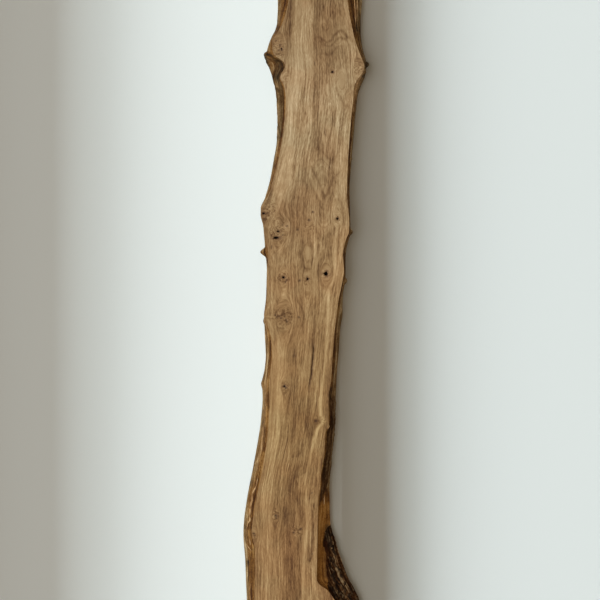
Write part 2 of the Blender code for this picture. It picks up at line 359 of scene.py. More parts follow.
# %% [markdown]
# ## The trunk's outside
#
# The wane is what is left of the round trunk, and it falls from the arris to the widest line. It
# could be carved out of noise alone, but the stubs and bark have to stay where the solid has
# them, so the same formulas are used here, on more points. The bark gets finer plates.


# %% Bark and stubs
def bark_cover(side, along, share):
    """How thick the bark is, in millimetres, at a distance along and a share of the way out."""
    thickness = np.zeros(np.broadcast(along, share).shape)
    for patch_side, first, last, start, thick, slant in BARK_PATCHES:
        if patch_side == side:
            ragged = 12.0 * noise_at(share * 9, along / 40, first)
            begins = first + slant * share + ragged
            inside = ease(begins, begins + BARK_FADE, along)
            inside = inside * (1 - ease(last - BARK_FADE, last, along + ragged))
            edge = smooth_curve(start)(along)
            thickness = np.maximum(thickness, thick * inside * ease(0.0, BARK_EDGE, share - edge))
    return thickness


def stub_height(side, along, height):
    """How far the branch stubs lift the wane at each place."""
    lift = np.zeros(np.broadcast(along, height).shape)
    for stub_side, stub_along, stub_level, radius, out, taper in STUBS:
        if stub_side == side:
            across_grain = (height - stub_level) * STUB_SECTION_STRETCH
            far = np.minimum(np.hypot(along - stub_along, across_grain) / radius, 1.0)
            lift = np.maximum(lift, out * (0.5 + 0.5 * np.cos(np.pi * far)) ** taper)
    return lift


def pocket_cover(side, along, share, column):
    """The darkness (column 5) or depth (column 6) of the pockets at each place on a wane."""
    cover = np.zeros(np.broadcast(along, share).shape)
    for pocket in POCKETS:
        if pocket[0] == side:
            far = np.hypot((along - pocket[1]) / pocket[3], (share - pocket[2]) / pocket[4])
            cover = np.maximum(cover, pocket[column] * (1 - ease(0.45, 1.1, far)))
    return cover


def wane_relief(side, along, height, share):
    """Lumps, long ridges and bark plates of the trunk's outside, outwards, in millimetres."""
    lumps = 2.2 * noise_at(along / 85, height / 40, 7.3 * side)
    ridges = 1.1 * noise_at(along / 190, height / 9, 19.1 * side)
    bark = bark_cover(side, along, share)
    plates = bark * (0.45 + 0.55 * noise_at(along / 26, height / 8, 31.7 * side))
    furrows = 0.5 * bark * noise_at(along / 9, height / 3.5, 3.1 * side)
    fibres = 0.35 * noise_at(along / 40, height / 2.5, 5.7 * side)
    hollows = pocket_cover(side, along, share, 6)
    return ease(0.0, 0.25, share) * (lumps + ridges + fibres) + plates + furrows - hollows


# %% [markdown]
# ## The cross-sections
#
# The plank is skinned like a boat: a ring of points at each row along, and faces between the
# rings. Rows stand about 3 mm apart, and 2 mm apart in the knotty middle.

# %% Rows and the wane's points
COARSE_ROW, FINE_ROW = 2.9, 2.0
KNOTTY_STRETCH = (900.0, 1260.0)
ROW_CHANGE = 50.0
FACE_COLUMNS = 80
WANE_ROWS = 11
EDGE_TURN = ((0.72, 0.08), (0.45, 0.3), (0.16, 0.62), (0.0, 1.0))  # shares of height and inset
BACK_COLUMNS = 12


def row_places():
    """Distances along of the rings of points, closer together in the knotty middle."""
    ruler = np.linspace(0.0, LENGTH, 4001)
    first, last = KNOTTY_STRETCH
    knotty = ease(first - ROW_CHANGE, first, ruler) * (1 - ease(last, last + ROW_CHANGE, ruler))
    spacing = COARSE_ROW + (FINE_ROW - COARSE_ROW) * knotty
    steps = np.diff(ruler) / (0.5 * (spacing[1:] + spacing[:-1]))
    rows_so_far = np.concatenate([[0.0], np.cumsum(steps)])
    count = int(round(rows_so_far[-1]))
    return np.interp(np.linspace(0.0, rows_so_far[-1], count + 1), rows_so_far, ruler)


def wane_points(side, along, arris, outline, slope):
    """Across, height and share of the way out of one wane, one row for each place along."""
    along = along[:, None]
    share = np.linspace(0.0, 1.0, WANE_ROWS + 1)[None, :]
    way_out, way_down = smooth_curve(slope, 1)(along), smooth_curve(slope, 2)(along)
    x_arris, x_out = smooth_curve(arris)(along), smooth_curve(outline)(along)
    level = WIDEST_HEIGHT + 4.0 * noise_at(along / 120, 3.7 * side, 0.5)
    x_mid = x_arris + way_out * (x_out - x_arris)
    z_mid = level + way_down * (THICKNESS - level)
    first, middle, last = (1 - share) * (1 - 2 * share), 4 * share * (1 - share), share * (2 * share - 1)
    x = first * x_arris + middle * x_mid + last * x_out
    z = first * THICKNESS + middle * z_mid + last * level
    steepness = (THICKNESS - level) / np.hypot(THICKNESS - level, x_out - x_arris)
    out = wane_relief(side, along, z, share) + stub_height(side, along, z)
    lift = out * np.sqrt(1 - steepness**2) * (share > 0)
    x = x + side * out * steepness
    z = np.minimum(z + lift, THICKNESS - 2.8 * share)
    x_last, z_last = x[:, -1:], level
    for height_share, inset_share in EDGE_TURN:
        x = np.hstack([x, x_last - side * inset_share * BACK_EDGE_INSET])
        z = np.hstack([z, z_last * height_share])
    turn = np.ones((1, len(EDGE_TURN)))
    return x, z, np.broadcast_to(np.hstack([share, turn]), x.shape)


rows = row_places()
left_x, left_z, left_share = wane_points(LEFT, rows, LEFT_ARRIS, LEFT_OUTLINE, LEFT_SLOPE)
right_x, right_z, right_share = wane_points(RIGHT, rows, RIGHT_ARRIS, RIGHT_OUTLINE, RIGHT_SLOPE)
print(len(rows), "rows;", "widest:", round(float((right_x.max(1) - left_x.min(1)).max()), 1), "mm")

# %% [markdown]
# ## Open knots, pin knots and cracks
#
# A branch that died leaves a dark plug of wood, and where the plug has dropped out there is a
# hole. The biggest holes are the ones that the solid has. Pin knots are the small dark dots
# round them, and cracks are thin splits along the grain. All of them are hollows in the mesh, so
# that they take real shade, and the grid of points is drawn together at each of them first.
# Inside the holes and cracks shade is painted as well, as near-black colour.

# %% Places of pin knots and cracks
PIN_KNOTS = (  # along, across, radius, depth
    (1735, -78, 2.6, 1.6), (1720, -72, 3.0, 2.2), (1720, -81, 2.6, 1.4), (1748, -90, 2.2, 1.0),
    (1231, -115, 2.6, 1.6), (1192, -57, 2.8, 1.6), (1181, -25.5, 3.4, 2.6), (1210, 9, 3.6, 3.2),
    (1028, -19.5, 3.2, 2.4), (925, -93, 2.6, 1.8), (919, -87, 2.6, 2.2), (922, -79.5, 2.4, 1.6),
    (916, -75, 2.8, 2.2), (910, -60, 3.0, 2.4), (904, -57, 2.8, 2.4), (921, -64, 2.4, 1.8),
    (919, -21, 3.2, 1.6), (706, -60, 3.2, 2.4), (607, 30, 3.4, 1.4), (323, -91, 4.0, 3.2),
    (316, -89, 3.2, 2.6), (272, -37, 3.2, 1.8), (283, -15, 3.0, 1.6), (270, -157, 2.8, 2.2),
    (263, -153, 2.4, 1.4), (208, 19.5, 2.6, 2.0), (1165, -69, 2.4, 1.2), (1196, -70, 2.2, 1.2),
    (1030, -57, 2.6, 1.4), (1024, -61, 2.4, 1.4), (391, 18, 2.4, 1.4), (1234, 20, 3.0, 2.4),
)
CRACKS = (  # half width, depth, then points along and across
    (1.3, 4.5, ((686, 7.8), (724, 10.9), (741, 15), (768, 18.3), (815, 21.5), (850, 24))),
    (1.0, 2.0, ((1225, 21), (1243, 20))),
    (1.1, 2.6, ((1118, -103), (1141, -102))),
    (1.1, 2.0, ((790, -36), (815, -35))),
    (0.9, 1.6, ((1450, 59), (1474, 57), (1497, 55))),
    (0.9, 1.4, ((1670, 27), (1690, 26))),
)
PINCH = 0.5


# %% Fine grid of the sawn face
def pinched(along, across, centre, reach, hold):
    """Draws the grid towards a centre, so that a small hollow there gets more points."""
    far = np.hypot(along - centre[0], across - centre[1])
    share = PINCH * hold * (1 - ease(0.0, reach, far))
    return along + share * (centre[0] - along), across + share * (centre[1] - across)


def crack_line(points, along):
    """Across at each distance along of a crack, and how open it is there, from 0 to 1."""
    first, last = points[0][0], points[-1][0]
    run_out = min(30.0, (last - first) / 2)
    open_share = ease(first, first + run_out, along) * (1 - ease(last - run_out, last, along))
    return smooth_curve(points)(along), open_share


def face_grid():
    """Along and across of every point of the sawn face, one row for each cross-section."""
    share = np.linspace(0.0, 1.0, FACE_COLUMNS + 1)[None, :]
    across = left_x[:, :1] + share * (right_x[:, :1] - left_x[:, :1])
    along = np.broadcast_to(rows[:, None], across.shape)
    hold = ease(0.0, 0.06, np.minimum(share, 1 - share))
    for knot_along, knot_across, half_length, half_width, _depth, _open_share in OPEN_KNOTS:
        reach = 5 * max(half_length, half_width)
        along, across = pinched(along, across, (knot_along, knot_across), reach, hold)
    for half_width, _depth, points in CRACKS:
        line, open_share = crack_line(points, along)
        near = 1 - ease(0.0, 14.0, np.abs(across - line))
        across = across + PINCH * hold * open_share * near * (line - across)
    return along, across


face_along, face_across = face_grid()
print("points on the sawn face:", face_along.size)

# %% [markdown]
# The holes are pits with a broken rim: the distance from the middle is stretched and shrunk by a
# little noise round the rim, so that no two of them are alike. A pit's wall is steep near the
# rim, and the wood beside it dips a little.


# %% Hollows in the sawn face
def pit(along, across, centre, half_length, half_width, roughness):
    """Distance from a pit's middle, as a share of its own half size, with a broken rim."""
    run, side = (along - centre[0]) / half_length, (across - centre[1]) / half_width
    far = np.hypot(run, side)
    near = far < 8
    rim = np.ones_like(far)
    turn = np.arctan2(run[near], side[near])
    rim[near] = 1 + roughness * noise_at(1.3 * np.cos(turn), 1.3 * np.sin(turn), centre[0])
    return far / rim


def face_hollows(along, across):
    """Depth of each hollow, how black it is inside (painted shade in the holes and cracks, dark wood in
    the pin knots) and how brown the wood beside it is.
    """
    depth, dark, brown = np.zeros_like(across), np.zeros_like(across), np.zeros_like(across)
    for knot_along, knot_across, half_length, half_width, deep, open_share in OPEN_KNOTS:
        centre = (knot_along, knot_across)
        far = pit(along, across, centre, half_length * open_share, half_width * open_share, 0.45)
        depth = np.maximum(depth, deep * (1 - ease(0.25, 1.1, far)) + 0.7 * (1 - ease(0.9, 2.6, far)))
        dark = np.maximum(dark, 1 - ease(0.7, 1.25, far))
        brown = np.maximum(brown, 1 - ease(1.0, 3.2, far))
    for knot_along, knot_across, radius, deep in PIN_KNOTS:
        far = pit(along, across, (knot_along, knot_across), radius, radius, 0.5)
        depth = np.maximum(depth, deep * (1 - ease(0.1, 1.1, far)))
        dark = np.maximum(dark, 0.75 * (1 - ease(0.3, 1.15, far)))
        brown = np.maximum(brown, 0.8 * (1 - ease(0.6, 2.4, far)))
    for half_width, deep, points in CRACKS:
        line, open_share = crack_line(points, along)
        wander = 1.2 * noise_at(along / 14, deep, 0.0)
        gap = np.abs(across - line - wander) / (half_width * (0.3 + 0.7 * open_share))
        patchy = open_share * (0.55 + 0.45 * noise_at(along / 22, half_width, 4.0))
        depth = np.maximum(depth, deep * patchy * (1 - ease(0.3, 1.6, gap)))
        dark = np.maximum(dark, 0.8 * patchy * (1 - ease(0.4, 1.7, gap)))
        brown = np.maximum(brown, 0.7 * open_share * (1 - ease(0.8, 4.0, gap)))
    return depth, dark, brown


hollow_depth, hollow_dark, hollow_brown = face_hollows(face_along, face_across)
print("deepest hollow:", round(float(hollow_depth.max()), 1), "mm")

# %% [markdown]
# ## How the grain runs
#
# Grain is drawn in three steps. First come two long lines, a left one and a right one, that the
# fibres follow, and every point is given its share of the way from one to the other. Then each
# knot pushes the fibres aside, as a stone does to a stream. That gives the flow line on which a
# point lies. Last, the growth rings are cylinders round the pith, which lies below the board, so
# a point's ring is its distance from the pith, and a swelling of the trunk lifts it. Where the
# rings run almost level with the face, they come out as the pointed arches of sawn oak.

# %% Grain tables
GRAIN_LEFT = ((0, -158), (220, -160), (370, -152), (600, -114), (850, -106), (1000, -114), (1220, -124),
              (1330, -98), (1500, -68), (1650, -66), (1750, -70), (1870, -53), (2000, -44))
GRAIN_RIGHT = ((0, 52), (120, 40), (370, 38), (600, 62), (850, 84), (1030, 106), (1200, 126),
               (1330, 123), (1500, 133), (1660, 152), (1870, 124), (2000, 120))
BOARD_WIDTH = 180.0
PITH_SHARE = 0.66
PITH_DEPTH = 33.0
FIGURE_KNOTS = (  # along, across, radius: what the fibres flow round
    (922, -66, 24), (1051, 60, 15), (1180, -84, 22), (1038, -67, 13), (1033, 4.5, 9),
    (1110, 4.5, 9), (988, 6, 7), (711, -64, 11), (607, 30, 7), (1726, -82, 20), (1654, 79, 7),
    (1630, 106, 12), (1663, 158, 16), (1214, 94, 10), (1210, 9, 6), (1181, -25, 6),
    (1192, -57, 9), (1231, -121, 12), (321, -91, 9), (272, -37, 7), (283, -15, 6), (268, -157, 10),
)
KNOT_STRETCH = 2.1
RING_SWELLS = (  # along, across, reach along, reach across, height: arches and ovals in the rings
    (1285, 51, 110, 30, 34), (1840, 78, 70, 20, 26), (1775, 57, 40, 16, -18), (1750, 92, 30, 22, 12),
    (1110, 4.5, 55, 15, 16), (988, 6, 26, 12, 12), (1051, 60, 46, 26, 20), (922, -60, 52, 42, 30),
    (1180, -80, 46, 34, 22), (1630, 106, 48, 19, 16), (1597, 64, 30, 9, 8), (300, -45, 90, 26, 18),
    (820, -20, 90, 16, -10), (560, -20, 120, 22, 10), (1480, 70, 90, 20, -12),
)


# %% Flow lines and growth rings
def flow_line(along, across):
    """The fibre on which a point lies, in millimetres from the left line of the grain."""
    left, right = smooth_curve(GRAIN_LEFT)(along), smooth_curve(GRAIN_RIGHT)(along)
    width = right - left
    pushed = across.copy()
    for knot_along, knot_across, radius in FIGURE_KNOTS:
        run, side = (along - knot_along) / KNOT_STRETCH, across - knot_across
        far = np.hypot(run, side) / radius
        pushed -= side * np.exp(-((far / 4.5) ** 2)) / np.maximum(far, 1.0) ** 2
    line = (pushed - left) / width * BOARD_WIDTH
    waves = 2.4 * noise_at(along / 75, line / 34, 4.4) + 0.8 * noise_at(along / 24, line / 12, 9.1)
    return line + waves


def ring_distance(along, across, height, flow):
    """Distance from the pith, in millimetres, lifted where the trunk swelled."""
    sideways = flow - PITH_SHARE * BOARD_WIDTH
    below = height + PITH_DEPTH + 7.0 * noise_at(along / 170, 2.2, 0.0)
    distance = np.hypot(sideways, below)
    for swell_along, swell_across, reach_along, reach_across, lift in RING_SWELLS:
        far = ((along - swell_along) / reach_along) ** 2 + ((across - swell_across) / reach_across) ** 2
        distance = distance + lift * np.exp(-far)
    return distance


# %% [markdown]
# ## Pale and dark stripes, clouded wood and clear wood
#
# Some streaks can be told apart on this board: pale sapwood-like bands, purple-brown bands and
# the mottled wood in the knots. Each is a soft line or a soft spot with its own place, read
# from the board. They are stored on the mesh as masks from 0 to 1.

# %% Tables of stripes and spots
PALE_STRIPES = (  # half width, strength, then points along and across
    (8, 0.4, ((1142, 12), (1108, 7), (1080, 5))),
    (20, 0.6, ((1230, -82), (1420, -52), (1570, -40), (1690, -20), (1870, -10), (2000, -8))),
    (10, 0.6, ((1270, -98), (1318, -86), (1363, -73), (1432, -55), (1525, -45), (1600, -40), (1650, -38))),
    (9, 0.45, ((1540, -24), (1640, -24), (1750, -22), (1870, -20), (2000, -18))),
    (5, 0.5, ((1480, -33), (1600, -33), (1780, -25), (1990, -20))),
    (18, 0.35, ((1530, 92), (1580, 88), (1640, 74), (1660, 70))),
    (12, 0.35, ((1400, 76), (1450, 78), (1500, 80))),
    (14, 0.3, ((1270, 112), (1320, 108), (1400, 112), (1460, 120))),
    (26, 0.5, ((-60, -118), (200, -122), (400, -112), (470, -100), (560, -92), (700, -84), (860, -84))),
    (11, 0.65, ((300, -132), (406, -115), (469, -99), (553, -88), (700, -83), (885, -82))),
    (5.5, 0.9, ((-60, -6), (137, -9), (185, -7), (244, -2), (304, 5), (350, 4), (385, 0), (416, -1),
                 (458, 4), (500, 12.5), (542, 21), (582, 34), (607, 52), (626, 45), (660, 43), (700, 47),
                 (727, 51), (780, 57), (832, 61), (940, 66), (997, 67), (1017, 74), (1038, 82),
                 (1060, 87), (1100, 87), (1153, 89), (1200, 95))),
    (4, 0.5, ((230, 28), (300, 30), (360, 31), (420, 28))),
    (3.5, 0.55, ((30, -82), (130, -88), (230, -104), (320, -104))),
    (3, 0.6, ((700, -9), (790, -2), (870, 6), (940, 12))),
    (5, 0.45, ((1020, 104), (1090, 105), (1160, 108), (1215, 108))),
    (4, 0.45, ((960, 28), (1010, 26), (1120, 30), (1180, 24))),
    (3, 0.5, ((1330, 88), (1420, 92), (1560, 96))),
    (3.5, 0.45, ((1290, 66), (1380, 60), (1500, 50), (1600, 48))),
)
DARK_STRIPES = (
    (9, 0.6, ((1740, -52), (1790, -48), (1860, -46), (2000, -36))),
    (12, 0.42, ((1690, 32), (1750, 33), (1870, 32), (2000, 30))),
    (26, 0.3, ((1660, 84), (1760, 78), (1870, 74), (2000, 72))),
    (9, 0.35, ((1800, 92), (1870, 90), (2000, 88))),
    (3.5, 0.5, ((1350, 44), (1400, 37), (1480, 36), (1570, 34), (1650, 34))),
    (16, 0.4, ((1150, -30), (1205, -18), (1260, -20), (1330, -12), (1390, 0))),
    (4, 0.6, ((680, 4), (760, 17), (840, 21), (930, 27), (1000, 30))),
    (28, 0.34, ((-60, -46), (190, -52), (300, -46), (427, -44), (500, -30), (553, -20), (660, -5))),
    (4, 0.5, ((780, -37), (800, -36), (830, -34))),
    (3, 0.4, ((990, 40), (1060, 36), (1130, 40), (1190, 42))),
    (3, 0.45, ((1075, -8), (1110, -9), (1165, -6))),
    (3, 0.45, ((1075, 17), (1110, 19), (1165, 20))),
    (5, 0.2, ((1300, 24), (1380, 26), (1500, 27), (1640, 26))),
    (12, 0.25, ((1280, 64), (1400, 72), (1560, 78))),
    (5, 0.4, ((400, 6), (520, 12), (640, 26))),
)
CLOUDED_SPOTS = (  # along, across, reach along, reach across
    (1726, -84, 36, 26), (1180, -81, 45, 36), (1231, -114, 22, 22), (1039, -68, 26, 25),
    (1033, 4, 22, 16), (918, -69, 40, 46), (711, -64, 17, 19), (1663, 157, 26, 17),
    (1213, 94, 20, 16), (608, 50, 20, 16), (322, -90, 28, 16), (276, -29, 18, 26),
    (266, -156, 18, 12), (1192, 9, 26, 20), (1250, -106, 30, 26), (1640, -60, 24, 12),
)
DARK_LINES = (  # half width, strength, then points along and across: rings that bend over the face
    (4.0, 0.7, ((1795, 63), (1813, 68), (1833, 77), (1835, 81), (1830, 84), (1813, 88), (1795, 92))),
    (3.6, 0.5, ((1783, 66), (1795, 71), (1810, 81), (1803, 86), (1789, 88))),
    (3.4, 0.8, ((1788, 51), (1777, 60), (1783, 67))),
    (4.8, 0.95, ((1760, 38), (1751, 48), (1743, 63), (1751, 77), (1765, 86), (1775, 96), (1778, 108),
                 (1758, 125))),
    (4.6, 0.75, ((1745, 41), (1734, 56), (1731, 71), (1741, 83), (1753, 93), (1758, 106), (1753, 115))),
    (4.8, 0.65, ((1711, 51), (1706, 63), (1707, 74), (1721, 86), (1731, 96), (1731, 106))),
    (2.4, 0.7, ((1721, 46), (1696, 45))),
    (4.4, 0.75, ((1368, 16), (1338, 32), (1308, 46), (1276, 56), (1295, 66), (1318, 75), (1340, 80))),
    (4.4, 0.5, ((1363, -3), (1331, 9), (1299, 22), (1274, 34), (1249, 46))),
    (3.0, 0.4, ((1271, 71), (1295, 82), (1325, 88))),
    (3.4, 0.5, ((1354, 29), (1322, 46), (1299, 52), (1322, 59), (1350, 64))),
    (2.6, 0.5, ((1144, -4), (1112, -9), (1081, -10), (1065, -2), (1062, 13))),
    (2.4, 0.4, ((1114, 60), (1096, 70), (1075, 76), (1060, 82), (1039, 82), (1021, 72))),
    (2.4, 0.35, ((1084, 39), (1060, 34), (1036, 36))),
    (2.4, 0.6, ((1036, -84), (1026, -75), (1026, -65), (1032, -50))),
    (3.0, 0.6, ((968, -25), (943, -12), (926, -7), (912, -8), (892, -15))),
    (2.2, 0.5, ((910, 26), (895, 29))),
    (2.4, 0.5, ((916, -122), (914, -96))),
    (3.2, 1.15, ((359, 23), (332, 22), (293, 21), (263, 19), (240, 18), (221, 15.5), (188, 12.5))),
)
PALE_LINES = (
    (2.8, 0.6, ((920, -124), (918, -94))),
    (3.0, 0.7, ((916, -120), (901, -107), (883, -100), (850, -97))),
    (2.6, 0.6, ((962, -107), (939, -118), (922, -124))),
    (2.6, 0.7, ((1153, 103), (1123, 101), (1084, 99), (1045, 93))),
    (3.6, 0.4, ((1352, 8), (1322, 22), (1292, 36), (1262, 50))),
    (3.6, 0.4, ((1340, 38), (1312, 50), (1288, 57))),
    (2.2, 0.5, ((286, 29), (247, 27))),
    (2.2, 0.6, ((1690, 96), (1674, 90), (1650, 88), (1600, 90))),
    (2.4, 0.6, ((1662, 92), (1648, 74), (1640, 84))),
    (3.0, 0.7, ((1616, 64), (1600, 63), (1585, 68))),
    (2.8, 0.6, ((1196, -66), (1186, -60), (1172, -64), (1166, -76))),
    (2.8, 0.6, ((1218, -96), (1206, -88), (1194, -92))),
    (2.8, 0.6, ((1718, -102), (1700, -100), (1692, -92))),
    (3.0, 0.7, ((1652, -63), (1640, -72), (1630, -70))),
    (2.8, 0.6, ((1206, 102), (1192, 106), (1176, 104))),
)
FIGURED_SPOTS = ((1770, 76, 62, 48), (1310, 42, 80, 52))
CLEAR_SPOTS = ((1108, 4.5, 44, 12), (1630, 107, 44, 17), (1597, 64, 27, 8), (1030, 98, 40, 8))
BROWN_STAINS = (  # reddish brown clouds beside the knots
    (1025, -45, 26, 22), (1190, -50, 60, 34), (1020, 60, 26, 24), (930, -66, 46, 44),
    (1240, -60, 46, 40), (1270, -20, 60, 40), (1600, 40, 60, 40), (1390, 70, 80, 30),
    (230, -50, 120, 30), (700, -62, 30, 28),
)


# %% Masks
def stripe_mask(stripes, along, across):
    """How much of a soft stripe there is at each place, from 0 to 1."""
    mask = np.zeros_like(across)
    for half_width, strength, points in stripes:
        first, last = points[0][0], points[-1][0]
        fade = min(0.25 * (last - first), 60.0)
        runs = ease(first - 8, first + fade, along) * (1 - ease(last - fade, last + 8, along))
        line = smooth_curve(points)(along) + 1.5 * noise_at(along / 45, half_width, first)
        wide = half_width * (1 + 0.35 * noise_at(along / 60, first, half_width))
        mask = np.maximum(mask, strength * runs * np.exp(-(((across - line) / wide) ** 2)))
    return mask


def line_mask(lines, along, across):
    """How much of a soft bent line there is at each place, from 0 to 1."""
    mask = np.zeros_like(across)
    even = 0.85 + 0.4 * noise_at(along / 13, across / 9, 4.7)
    across = across + 2.0 * noise_at(along / 12, across / 30, 8.1)
    along = along + 2.0 * noise_at(across / 9, along / 30, 3.3)
    for half_width, strength, points in lines:
        for start, end in zip(points, points[1:]):
            start, end = np.array(start, float), np.array(end, float)
            run = end - start
            share = ((along - start[0]) * run[0] + (across - start[1]) * run[1]) / (run @ run)
            share = np.clip(share, 0.0, 1.0)
            far = np.hypot(along - start[0] - share * run[0], across - start[1] - share * run[1])
            mask = np.maximum(mask, strength * np.exp(-((far / half_width) ** 2)))
    return np.clip(mask * even, 0.0, 1.0)


def spot_mask(spots, along, across):
    """How much of a soft oval spot there is at each place, from 0 to 1."""
    mask = np.zeros_like(across)
    for spot_along, spot_across, reach_along, reach_across in spots:
        run, side = (along - spot_along) / reach_along, (across - spot_across) / reach_across
        mask = np.maximum(mask, 1 - ease(0.3, 1.15, np.hypot(run, side)))
    return mask


# %% [markdown]
# ## Where fibres have torn loose
#
# Along the left edge long strips of the inner bark have torn loose, and each leaves a dark
# split beside it, into which the strip's shadow on the wane is painted. The strips are made
# later, but their lines are needed now, because the split and its painted shadow are stored on
# the skin like the other masks. So are the wane's own marks: dark hollows, amber inner bark and
# pale ridges rubbed bright by wear, brightened on the right wane as painted light, are soft
# lines, like those on the sawn face.

# %% Lines on the wane
TORN_FIBRES = (  # side, half thickness, lift off the wane, then points along and share of the way out
    (LEFT, 1.3, 1.0, ((696, 0.40), (676, 0.42), (650, 0.34))),
    (LEFT, 1.7, 1.4, ((602, 0.50), (574, 0.42), (532, 0.30), (508, 0.22))),
    (LEFT, 3.2, 2.2, ((437, 0.22), (412, 0.17), (397, 0.30), (384, 0.36), (369, 0.28), (350, 0.34),
                      (335, 0.34), (320, 0.27), (309, 0.21), (301, 0.34), (290, 0.41), (276, 0.52))),
    (LEFT, 1.9, 1.4, ((238, 0.66), (228, 0.46), (216, 0.20))),
    (LEFT, 2.2, 1.4, ((258, 0.20), (246, 0.22), (234, 0.24))),
    (LEFT, 1.3, 1.0, ((120, 0.42), (95, 0.46), (50, 0.42))),
    (RIGHT, 1.3, 1.0, ((384, 0.45), (368, 0.46), (354, 0.45))),
    (RIGHT, 1.6, 1.3, ((597, 0.05), (590, 0.06), (582, 0.05))),
    (RIGHT, 1.4, 1.1, ((1990, 0.55), (1900, 0.60), (1800, 0.52))),
    (RIGHT, 1.4, 1.1, ((1940, 0.35), (1850, 0.42), (1790, 0.36))),
)
# The split beside each fibre also carries the fibre's painted shadow on the wane.
SPLIT_AND_SHADOW_BESIDE = 4.2  # from the middle of the fibre to the middle of its split
SPLIT_AND_SHADOW_WIDTH = 2.4
DARK_WANE_LINES = (  # half width, strength, then points along and across: hollows and old bark
    (11.0, 0.8, ((1679, -79), (1667, -79), (1655, -81), (1644, -85))),
    (4.0, 0.95, ((1693, -88), (1688, -80), (1683, -73), (1672, -69), (1658, -72))),
    (3.8, 0.85, ((1689, -89), (1667, -91), (1651, -94), (1642, -98))),
    (3.0, 0.5, ((1646, -78), (1630, -81))),
    (9.0, 0.7, ((1714, -129), (1701, -127), (1688, -123))),
    (3.8, 1.0, ((1707, -118), (1704, -103))),
    (3.0, 0.7, ((1697, -98), (1690, -93))),
    (2.4, 0.5, ((1606, -90), (1600, -84))),
    (2.6, 0.45, ((1500, -86), (1478, -79), (1462, -72))),
    (2.4, 0.7, ((181, -174), (172, -174))),
    (7.0, 0.75, ((1689, 184), (1672, 184))),
    (3.0, 0.6, ((1655, 176), (1646, 177))),
    (3.0, 0.5, ((1175, 137), (1158, 134))),
    (3.0, 0.9, ((1812, 147), (1795, 151), (1780, 154))),
    (2.6, 0.5, ((400, 46), (380, 43), (355, 41))),
    (8.0, 0.7, ((284, 66), (255, 64), (222, 66))),
    (9.0, 0.13, ((1900, -69), (1870, -70), (1820, -77), (1785, -90))),
    (22.0, 0.17, ((1900, 147), (1870, 147), (1810, 149), (1780, 153))),
)
AMBER_WANE_LINES = (  # the same, where red-brown inner bark lies bare
    (3.0, 0.8, ((1900, -57), (1860, -62), (1810, -76), (1775, -92))),
    (2.2, 0.9, ((1466, -74), (1390, -88), (1315, -105), (1282, -118))),
    (8.0, 0.6, ((1700, -100), (1690, -94), (1682, -94))),
    (9.0, 0.6, ((1695, -106), (1670, -100), (1645, -99))),
    (3.2, 0.75, ((1620, -80), (1606, -69), (1570, -65.5), (1525, -67.5), (1465, -75), (1420, -82))),
    (2.0, 0.25, ((890, -120), (860, -109), (790, -108), (730, -112))),
    (2.0, 0.5, ((706, -114), (670, -113), (640, -115))),
    (2.4, 0.6, ((600, -119), (560, -121), (515, -126))),
    (2.6, 0.8, ((462, -143), (430, -148), (400, -154))),
    (2.4, 0.85, ((400, -148), (384, -152), (355, -156), (325, -160), (305, -162), (284, -167), (272, -168),
                 (262, -164), (247, -158), (226, -156), (150, -157), (90, -158))),
    (3.5, 0.5, ((400, -165), (360, -171), (330, -174))),
    (2.4, 0.9, ((1500, 138), (1400, 130), (1300, 127), (1225, 131))),
    (2.4, 0.6, ((1160, 125), (1110, 114), (1000, 107))),
    (4.5, 0.75, ((1990, 126), (1870, 131), (1820, 138))),
    (3.5, 0.7, ((1771, 152), (1745, 158), (1720, 163))),
    (3.0, 0.85, ((900, 91), (800, 83), (700, 73))),
    (7.5, 1.0, ((240, 60), (200, 58), (150, 58), (122, 60))),
    (8.0, 0.95, ((398, 62), (384, 63), (366, 66))),
)
# On the right wane these pale lines are partly painted light, brightening a wane that the lamps leave in
# shade.
PALE_WANE_LINES = (  # the same, where the wane is worn to bright wood
    (6.0, 1.0, ((1650, 167), (1631, 158), (1601, 148), (1571, 143.5), (1540, 140))),
    (1.6, 0.7, ((1868, 158), (1842, 157))),
    (1.6, 0.6, ((1870, 147), (1835, 148))),
    (3.0, 0.6, ((1620, -91), (1611, -84))),
    (2.4, 0.5, ((1560, -86), (1520, -84), (1470, -86))),
    (4.0, 0.4, ((900, -124), (820, -119), (740, -120), (640, -124), (540, -132), (460, -150))),
    (3.5, 0.3, ((880, 97), (800, 93), (720, 88))),
)


def fibre_splits_and_shadows(side, along, x, share):
    """The dark split that each torn fibre leaves on its inner side, with the fibre's shadow painted into
    it, from 0 to 1.
    """
    crack = np.zeros_like(x)
    width = np.abs(x[:, WANE_ROWS : WANE_ROWS + 1] - x[:, :1])
    for fibre_side, _half_thickness, _lift, points in TORN_FIBRES:
        if fibre_side == side:
            points = sorted(points)
            first, last = points[0][0], points[-1][0]
            runs = ease(first - 5, first + 15, along) * (1 - ease(last - 15, last + 5, along))
            beside = (smooth_curve(points)(along) - share) * width
            ragged = SPLIT_AND_SHADOW_WIDTH * (0.8 + 0.6 * noise_at(along / 17, first, 0.3))
            crack = np.maximum(crack, runs * np.exp(-(((beside - SPLIT_AND_SHADOW_BESIDE) / ragged) ** 2)))
    return crack


# %% [markdown]
# ## One skin for the whole plank
#
# Each ring of points runs over the sawn face, down the right wane, back under the board and up
# the left wane. The last ring at each end is drawn in by under a millimetre, because a saw never
# leaves a perfect corner. Every point also stores its masks, its flow line and its ring, so
# that a material can read them by name. No flakes grow at the butt, where the saw went through.

# %% Rings of points
END_CHAMFER = 0.8
FACE_RIPPLE = 0.22


def between(start, end, columns):
    """Evenly spaced values between two columns, without either of them."""
    share = np.linspace(0.0, 1.0, columns + 1)[None, 1:-1]
    return start[:, None] * (1 - share) + end[:, None] * share


